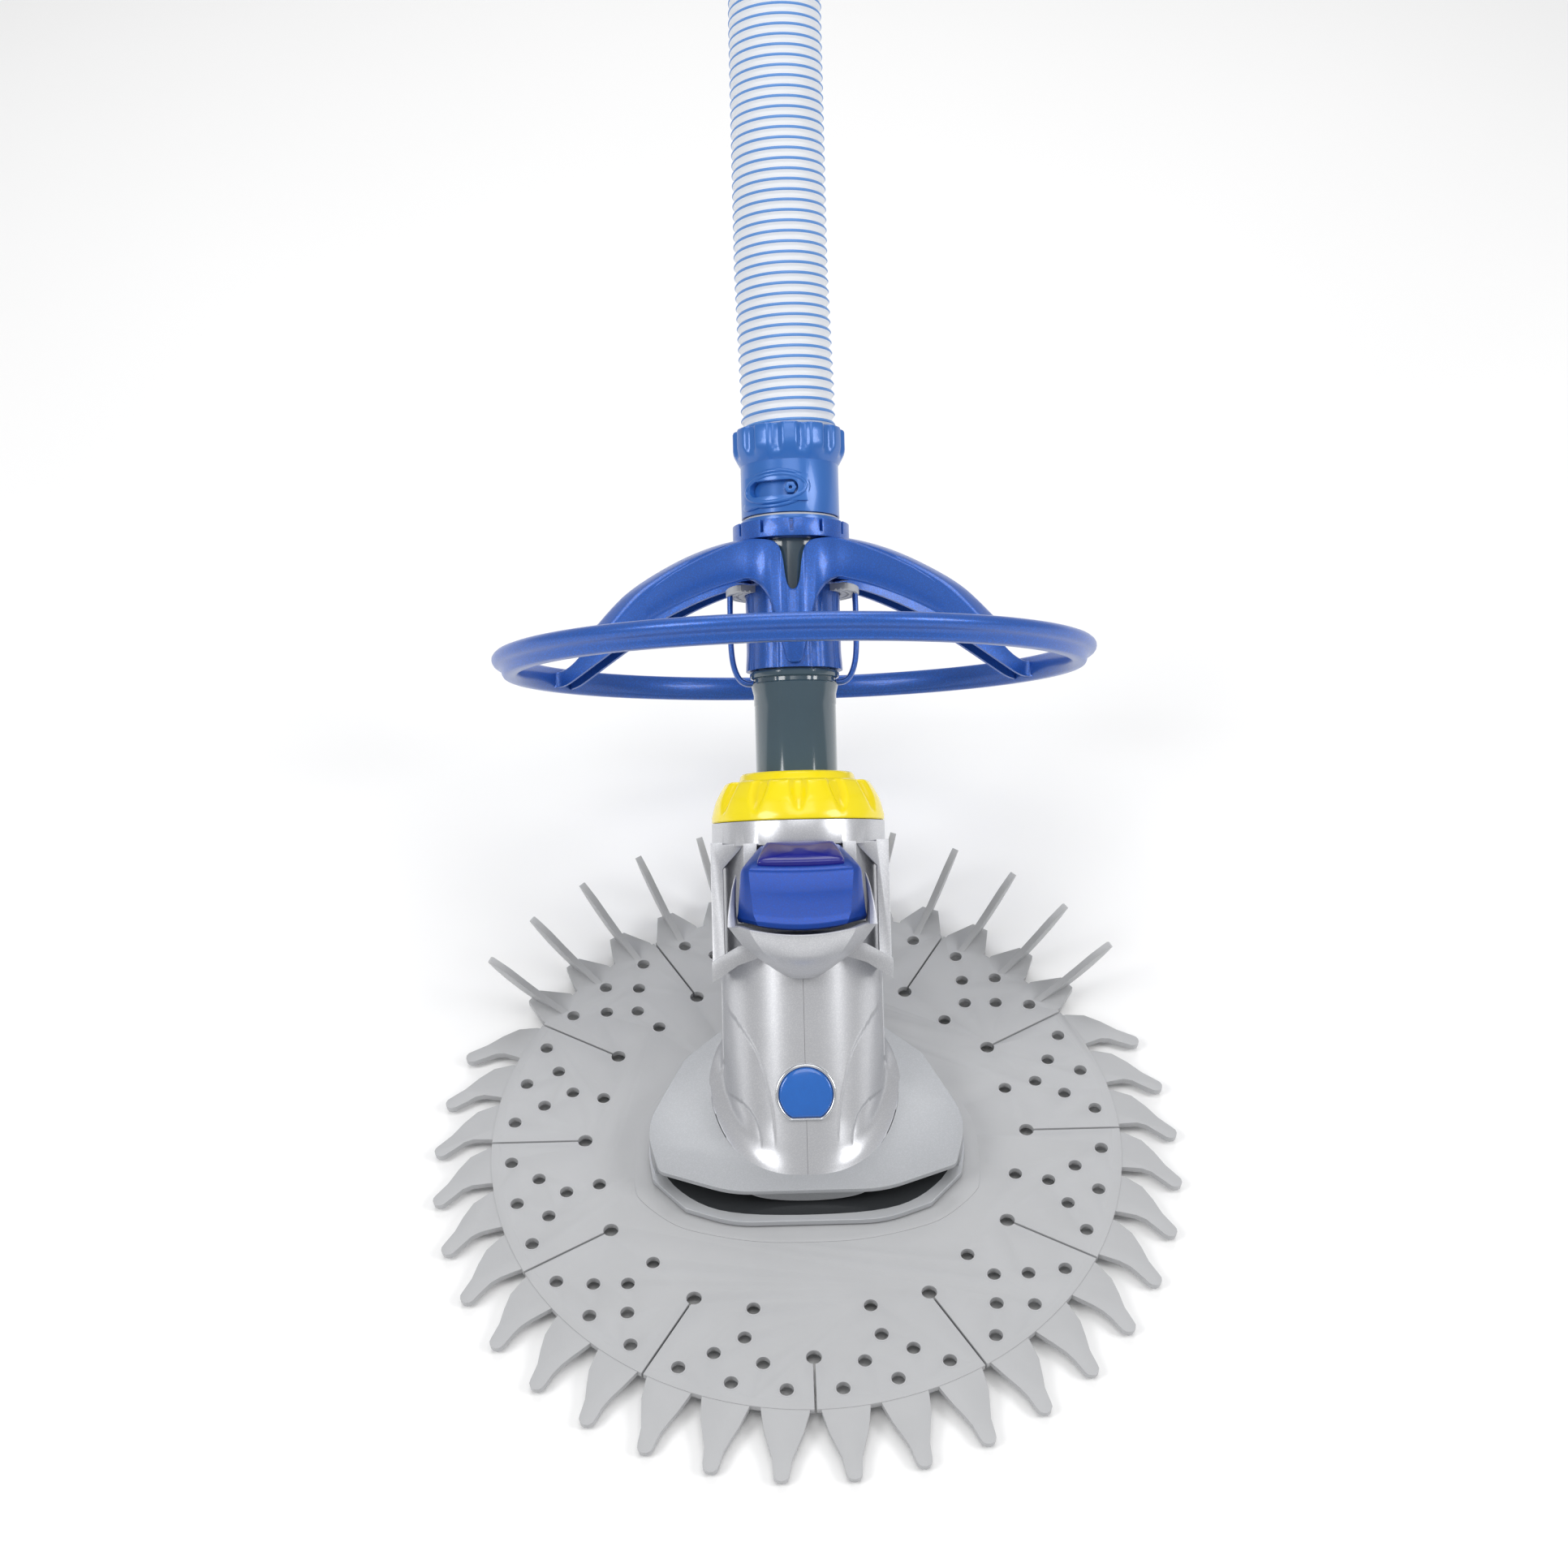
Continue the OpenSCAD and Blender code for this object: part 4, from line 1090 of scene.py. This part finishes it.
@dataclass
class Nut:
    """Yellow nut with finger hollows and a sloping shoulder."""

    foot: float = 171.9
    height: float = 22.0
    lobes: int = 12
    radius: float = 47.6
    inner: float = 36.9
    bore: float = 22.9
    seat: float = 17.6
    hollow_depth: float = 4.4

    def hollow(self, a: float, r: float, z: float) -> float:
        """Radius with the finger hollows let into the sloping part."""
        h = z - self.foot
        if r < 38.5 or h < 3.2 or h > self.height + 0.5:
            return r
        wide = 0.12 + 0.42 * step(2.0, 18.0, h)
        depth = self.hollow_depth * step(3.4, 12.0, h)
        return r - depth * (1 - step(wide * 0.3, wide, off_hollow(a, self.lobes)))

    def fit(self) -> None:
        """Turns the nut."""
        f, h, r = self.foot, self.height, self.radius
        outside = [(r - 0.6, 0), (r, 0.6), (r, 3.2)]
        outside += [(r - 1.5 * q, 3.2 + 6 * q) for q in (0.3, 0.6, 1.0)]
        outside += [(r - 1.5 - 5.2 * q ** 1.3, 9.2 + 10.8 * q) for q in (0.2, 0.4, 0.6, 0.8, 1.0)]
        outside += [(r - 7.6, h - 0.8), (r - 9.0, h), (34, h), (32.6, h + 0.3), (32, h + 1)]
        outside += [(31.4, h + 3.4), (30.2, h + 4.7), (28.4, h + 5)]
        inside = [(self.bore, h + 5), (self.bore, self.seat), (self.inner, self.seat), (self.inner, 0)]
        section = [(q, f + z) for q, z in outside + inside]
        nut = turned("nut_gripped", section, Look.NUT, sides=288, shape=self.hollow, sharp=42)
        ride(nut, "nut", "nut_plastic", "retaining_nut")


@dataclass
class Pipe:
    """Slate outer pipe with its stop bead, and the pipe and seal inside it."""

    foot: float = 186.5
    top: float = 352.0
    radius: float = 22.5
    bore_r: float = 20.7
    flange_r: float = 36.5
    bead: float = 255.1

    def fit(self, frame: dict) -> None:
        """Turns the outer pipe and dresses the inner one."""
        r, b = self.radius, self.bead
        foot, flange, bore = self.foot, self.flange_r, self.bore_r
        section = [(bore, foot), (flange, foot), (flange, foot + 3), (r, foot + 3), (r, b - 19)]
        section += [(r + 0.25, b - 18.4), (r + 0.25, b - 13), (r + 1.6, b - 8.2), (r + 1.7, b - 7.2)]
        section += [(r + 0.5, b - 6.4), (r + 0.4, b - 4.4), (r + 1.9, b - 3.6), (r + 2.2, b - 2.9)]
        section += [(r + 2.2, b - 0.7), (r + 1.7, b - 0.1), (r, b)]
        section += [(r, self.top - 0.6), (r - 0.6, self.top), (bore, self.top)]
        pipe = turned("pipe_turned", section, Look.PIPE, sides=128)
        ride(pipe, "cleaner_body", "pipe_plastic", "outer_pipe")
        ride(eased(frame, "inner_pipe", Look.WASHER, 0.3), "cleaner_body", "inner_pipe_plastic")
        ride(eased(frame, "inner_pipe_seal", Look.BLACK, 0.3), "cleaner_body", "black_rubber")


# ---------------------------------------------------------------- wheel


@dataclass
class Wheel:
    """Deflector wheel: ring, four arms, hub with its front notch, retainer and snap clips."""

    ring_l: float = 261.0
    arms: tuple[float, ...] = (-118.0, -45.0, 45.0, 118.0)
    arm_half: float = 7.4
    arm_roof: float = 2.6
    arm_wall: float = 2.2
    hub_r: float = 26.56
    bore_r: float = 22.56
    hub_foot: float = 255.5
    hub_top: float = 326.0
    notch_l: float = 297.0
    retainer_l: float = 297.5
    upper: tuple[tuple[float, float], ...] = (
        (153.0, 265.0), (148.0, 265.8), (141.0, 269.5), (129.0, 281.0), (117.0, 291.0), (98.0, 302.0),
        (77.5, 312.0), (58.0, 319.5), (42.0, 324.2), (32.0, 325.8), (25.0, 325.8)
    )
    lower: tuple[tuple[float, float], ...] = (
        (153.0, 255.6), (146.0, 256.6), (137.5, 261.2), (124.0, 268.8), (109.0, 277.0), (91.0, 285.6),
        (72.0, 293.2), (53.0, 299.3), (40.0, 302.2), (32.0, 303.0), (25.0, 303.0)
    )

    def ring(self) -> bpy.types.Object:
        """The outer ring, with a rounded band over a small lower lip."""
        section = [
            (152.0, -6.8), (152.0, 4.6), (153.2, 6.8), (158.0, 7.2), (163.6, 6.6), (166.4, 4.2), (166.5, 1.4),
            (165.0, -0.8), (162.8, -1.5), (161.6, -2.8), (160.6, -6.2), (159.2, -7.0)
        ]
        profile = [(r, self.ring_l + l) for r, l in smoothed(section, 1)]
        return turned("ring", profile, Look.WHEEL, sides=220, sharp=60)

    def arm(self, degrees: float) -> bpy.types.Object:
        """One arm, a channel that is open below."""
        a = math.radians(degrees)
        top, low = smoothed(self.upper, 2, False), smoothed(self.lower, 2, False)
        loops = []
        for i in range(41):
            t = i / 40
            (ru, lu), (rl, ll) = along(top, t), along(low, t)
            half = self.arm_half + 3.4 * (1 - step(0.0, 0.09, t)) + 1.6 * step(0.72, 1.0, t)
            size, roof = math.hypot(ru - rl, lu - ll), self.arm_roof
            depth = roof if t < 0.9 else max(roof, size * 0.96)
            if t <= 0.06:
                depth = roof + (size * 0.9 - roof) * (1 - t / 0.06)
            inner, wall = min(depth / size, 0.96), self.arm_wall
            section = [(half, 1.0), (half, 0.22), (half - 0.5, 0.09), (half - 1.7, 0.01)]
            section.append((half * 0.5, -0.015))
            section += [(0.0, -0.02)] + [(-x, q) for x, q in reversed(section)]
            section += [(-half + wall, 1.0), (-half + wall, inner), (half - wall, inner), (half - wall, 1.0)]
            loop = []
            for x, q in section:
                r, l = ru + (rl - ru) * q, lu + (ll - lu) * q
                back = -r * math.cos(a) + x * math.sin(a)
                loop.append(along_pipe(r * math.sin(a) + x * math.cos(a), back, l))
            loops.append(loop)
        return swept(f"arm_{int(degrees + 180)}", loops, Look.WHEEL, 38)

    def hub_edge(self, a: float) -> float:
        """Top of the hub's wall at angle a, with the notch at the front."""
        if math.cos(a) < 0:
            return self.hub_top
        x = abs(self.hub_r * math.sin(a))
        return self.notch_l + (self.hub_top - self.notch_l) * min(1.0, (max(0.0, x - 5.0) / 9.5) ** 1.4)

    def hub_radius(self, a: float, length: float) -> float:
        """Outside of the hub: a flat front panel between two half-round columns."""
        deg = abs(math.degrees(math.atan2(math.sin(a), math.cos(a))))
        column = math.exp(-(((deg - 38) / 13.0) ** 2)) * 1.1
        groove = math.exp(-(((deg - 21) / 2.4) ** 2)) * 0.7 + math.exp(-(((deg - 60) / 3.0) ** 2)) * 0.6
        swell = 1.6 * math.exp(-(((deg - 38) / 18.0) ** 2)) * step(self.hub_top - 30, self.hub_top - 6, length)
        flare = 1.2 * (1 - step(self.hub_foot, self.hub_foot + 12, length))
        return self.hub_r - 0.4 + column - groove + swell + flare * 0.5

    def hub(self) -> bpy.types.Object:
        """The sleeve of the hub with its front notch."""
        sides, rows = 192, 40
        loops = []
        for i in range(rows + 2):
            share = i / (rows - 1) if i < rows else rows + 1 - i
            loop = []
            for k in range(sides):
                a = 2 * math.pi * k / sides
                length = self.hub_foot + (self.hub_edge(a) - self.hub_foot) * share
                loop.append(round_pipe(a, self.hub_radius(a, length) if i < rows else self.bore_r, length))
            loops.append(loop)
        return swept("hub", loops, Look.WHEEL, 45, hoop=True)

    def front_panel(self) -> bpy.types.Object:
        """Front wall in which the two front arms flow together, with the notch between them."""
        right = [
            (0.0, 30.6, 297.4, 257.5), (1.6, 30.6, 298.0, 257.5), (3.0, 30.6, 300.4, 258.0),
            (4.0, 30.6, 305.0, 259.5), (4.7, 30.7, 312.0, 262.0), (5.6, 30.9, 317.6, 266.0),
            (7.0, 31.2, 321.4, 272.0), (9.2, 31.6, 323.6, 282.0), (12.0, 32.2, 324.4, 292.0),
            (15.4, 33.4, 324.6, 298.6), (19.4, 35.8, 324.2, 301.6), (24.0, 39.6, 323.2, 302.6),
            (30.0, 43.4, 321.2, 300.2), (40.0, 51.9, 316.0, 296.4), (52.0, 63.0, 308.8, 290.0),
            (66.0, 76.7, 299.0, 281.6), (80.0, 90.4, 286.0, 271.4), (88.0, 98.2, 277.0, 265.0)
        ]
        line = smoothed([(-x, f, t, b) for x, f, t, b in reversed(right[1:])] + right, 1, closed=False)
        loops = []
        for i, (x, f, t, b) in enumerate(line):
            nx, nf = across(line[max(i - 1, 0)], line[min(i + 1, len(line) - 1)])
            section = [(0.0, b + 1.2), (0.0, t - 1.4), (-0.5, t - 0.4), (-1.6, t)]
            section += [(-3.0, t), (-3.0, b), (-1.6, b), (-0.4, b + 0.3)]
            loops.append([along_pipe(x + nx * out, -(f + nf * out), l) for out, l in section])
        return swept("front_panel", loops, Look.WHEEL, 50)

    def clip(self, side: int) -> bpy.types.Object:
        """One snap clip, a thin tongue that hooks under the pipe's bead."""
        bends = [(34.6, 301), (34.9, 285), (34.8, 268), (33.6, 258.5), (30.8, 251.4)]
        path = smoothed(bends + [(27.0, 248.9), (23.3, 248.8)], 2, False)
        loops = []
        for i, (x, l) in enumerate(path):
            nx, nl = across(path[max(i - 1, 0)], path[min(i + 1, len(path) - 1)])
            loop = []
            for w, t in smoothed([(4, 1.6), (-4, 1.6), (-4, -1.6), (4, -1.6)], 2):
                loop.append(along_pipe(side * (x + nx * t), w, l + nl * t))
            loops.append(loop)
        return swept("clip", loops, Look.WHEEL, 50)

    def retainer(self) -> bpy.types.Object:
        """The hub's retainer, an arc with small rims that is open at the front."""
        section = [
            (26.7, 0.2), (27.4, 0), (30, 0), (30.3, 0.8), (31.2, 0.8), (31.5, 0), (33.4, 0), (33.7, 0.7),
            (34.4, 0.7), (34.7, 0), (36.4, 0), (36.9, 0.5), (36.9, 3.4), (36.4, 3.9), (27.2, 3.9), (26.7, 3.5)
        ]
        loops = []
        for i in range(85):
            a = math.radians(50 + 260 * i / 84)
            loops.append([round_pipe(a, r, self.retainer_l + l) for r, l in section])
        return swept("retainer_turned", loops, Look.WASHER, 30)

    def fit(self) -> None:
        """Makes the wheel and what holds it on."""
        parts = [self.ring(), self.hub(), self.front_panel()] + [self.arm(d) for d in self.arms]
        ride(joined("wheel_moulded", parts), "wheel", "wheel_plastic", "deflector_wheel")
        ride(self.retainer(), "wheel", "grey_plastic", "hub_retainer_ring")
        clips = joined("clips_bent", [self.clip(-1), self.clip(1)])
        ride(clips, "wheel", "wheel_plastic", "snap_clips")


# ---------------------------------------------------------------- swivel


@dataclass
class Swivel:
    """Lock ring, adaptor, twist-lock cuff with its raised rim, and the scalloped collar."""

    cuff_l: float = 340.4
    cuff_r: float = 27.2
    collar_l: float = 369.4
    collar_h: float = 20.0
    collar_r: float = 31.2
    pin_l: float = 353.4
    bore_r: float = 19.1
    hollows: int = 12
    hollow_depth: float = 2.3

    def scallop(self, a: float, r: float, l: float) -> float:
        """Collar radius with thumb hollows that run out below."""
        if r < 28.2:
            return r
        depth = self.hollow_depth * step(self.collar_l + 2.5, self.collar_l + 8, l)
        return r - depth * (1 - step(0.15, 0.6, off_hollow(a, self.hollows, 0.5)))

    def collar(self) -> bpy.types.Object:
        """The collar that grips the hose."""
        b, h, r = self.collar_l, self.collar_h, self.collar_r
        section = [(self.bore_r, 0), (self.cuff_r, 0), (27.7, 0.8), (28.6, 2.4), (29.6, 4.2), (30.6, 6.2)]
        section += [(31.0, 7.6), (r, 9), (r, 12), (r, 15), (r, h - 1.6)]
        section += [(r - 0.5, h - 0.5), (r - 1.4, h - 0.05), (self.bore_r, h)]
        profile = [(q, b + l) for q, l in section]
        return turned("collar_scalloped", profile, Look.CUFF, sides=240, shape=self.scallop, sharp=40)

    def rim(self) -> bpy.types.Object:
        """Raised oval rim round the slot, in two steps."""
        parts = []
        for grow, height, width in ((4.6, 2.6, 2.6), (8.0, 1.6, 2.4)):
            path = []
            for i in range(72):
                t = 2 * math.pi * i / 72
                deg = -20 + (31.5 + grow * 1.2) * math.cos(t)
                l = self.pin_l + (4.6 + grow * 0.62) * math.sin(t) + 0.9 * math.cos(t)
                path.append((math.radians(deg) * self.cuff_r, l))
            loops = []
            for i, (arc, l) in enumerate(path):
                na, nl = across(path[i - 1], path[(i + 1) % len(path)])
                loop = []
                for q in range(8):
                    t = 2 * math.pi * q / 8
                    side, out = width / 2 * math.cos(t), height * 0.5 * (1 + math.sin(t)) - 0.35
                    loop.append(round_pipe((arc + na * side) / self.cuff_r, self.cuff_r + out, l + nl * side))
                loops.append(loop)
            parts.append(swept("rim", loops, Look.CUFF, 60, hoop=True))
        return joined("cuff_rim", parts)

    def lug(self) -> bpy.types.Object:
        """Rounded thumb lug at the lower left of the cuff."""
        loops = []
        for i in range(25):
            t = i / 24
            a = math.radians(-72 + 50 * t)
            size = max(0.05, math.sin(math.pi * t) ** 0.45)
            loop = []
            for q in range(16):
                u = 2 * math.pi * q / 16
                l = self.cuff_l + 4.6 + 3.6 * size * math.cos(u) + 2.0 * t
                r = self.cuff_r - 0.4 + 2.1 * size * max(math.sin(u), -0.3)
                loop.append(round_pipe(a, r, l))
            loops.append(loop)
        return swept("cuff_lug", loops, Look.CUFF, 60)

    def fit(self, frame: dict) -> None:
        """Dresses the swivel."""
        ride(eased(frame, "lock_ring", Look.WHEEL, 0.7, 30, 3), "cleaner_body", "wheel_plastic")
        ride(eased(frame, "swivel_adaptor", Look.CUFF, 0.4), "adaptor", "cuff_plastic")
        ride(eased(frame, "lock_pin", Look.CUFF, 0.3), "adaptor", "cuff_plastic")
        ride(eased(frame, "swivel_seal", Look.WASHER, 0.2), "adaptor", "grey_plastic")
        ride(eased(frame, "swivel_cuff", Look.CUFF, 0.5, 30, 3), "cuff", "cuff_plastic")
        ride(self.collar(), "cuff", "cuff_plastic", "cuff_collar")
        ride(self.rim(), "cuff", "cuff_plastic")
        ride(self.lug(), "cuff", "cuff_plastic")


def main() -> None:
    """Builds the studio and every sub-assembly in order."""
    logging.basicConfig(level=logging.INFO, format="%(message)s")
    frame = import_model()
    studio = Studio()
    studio.camera()
    Hose().fit(frame)
    Disc().fit(frame)
    Body().fit(frame)
    Badge().fit()
    Head().fit(frame)
    Nut().fit()
    Pipe().fit(frame)
    Wheel().fit()
    Swivel().fit(frame)
    studio.build()


if __name__ == "__main__":
    main()
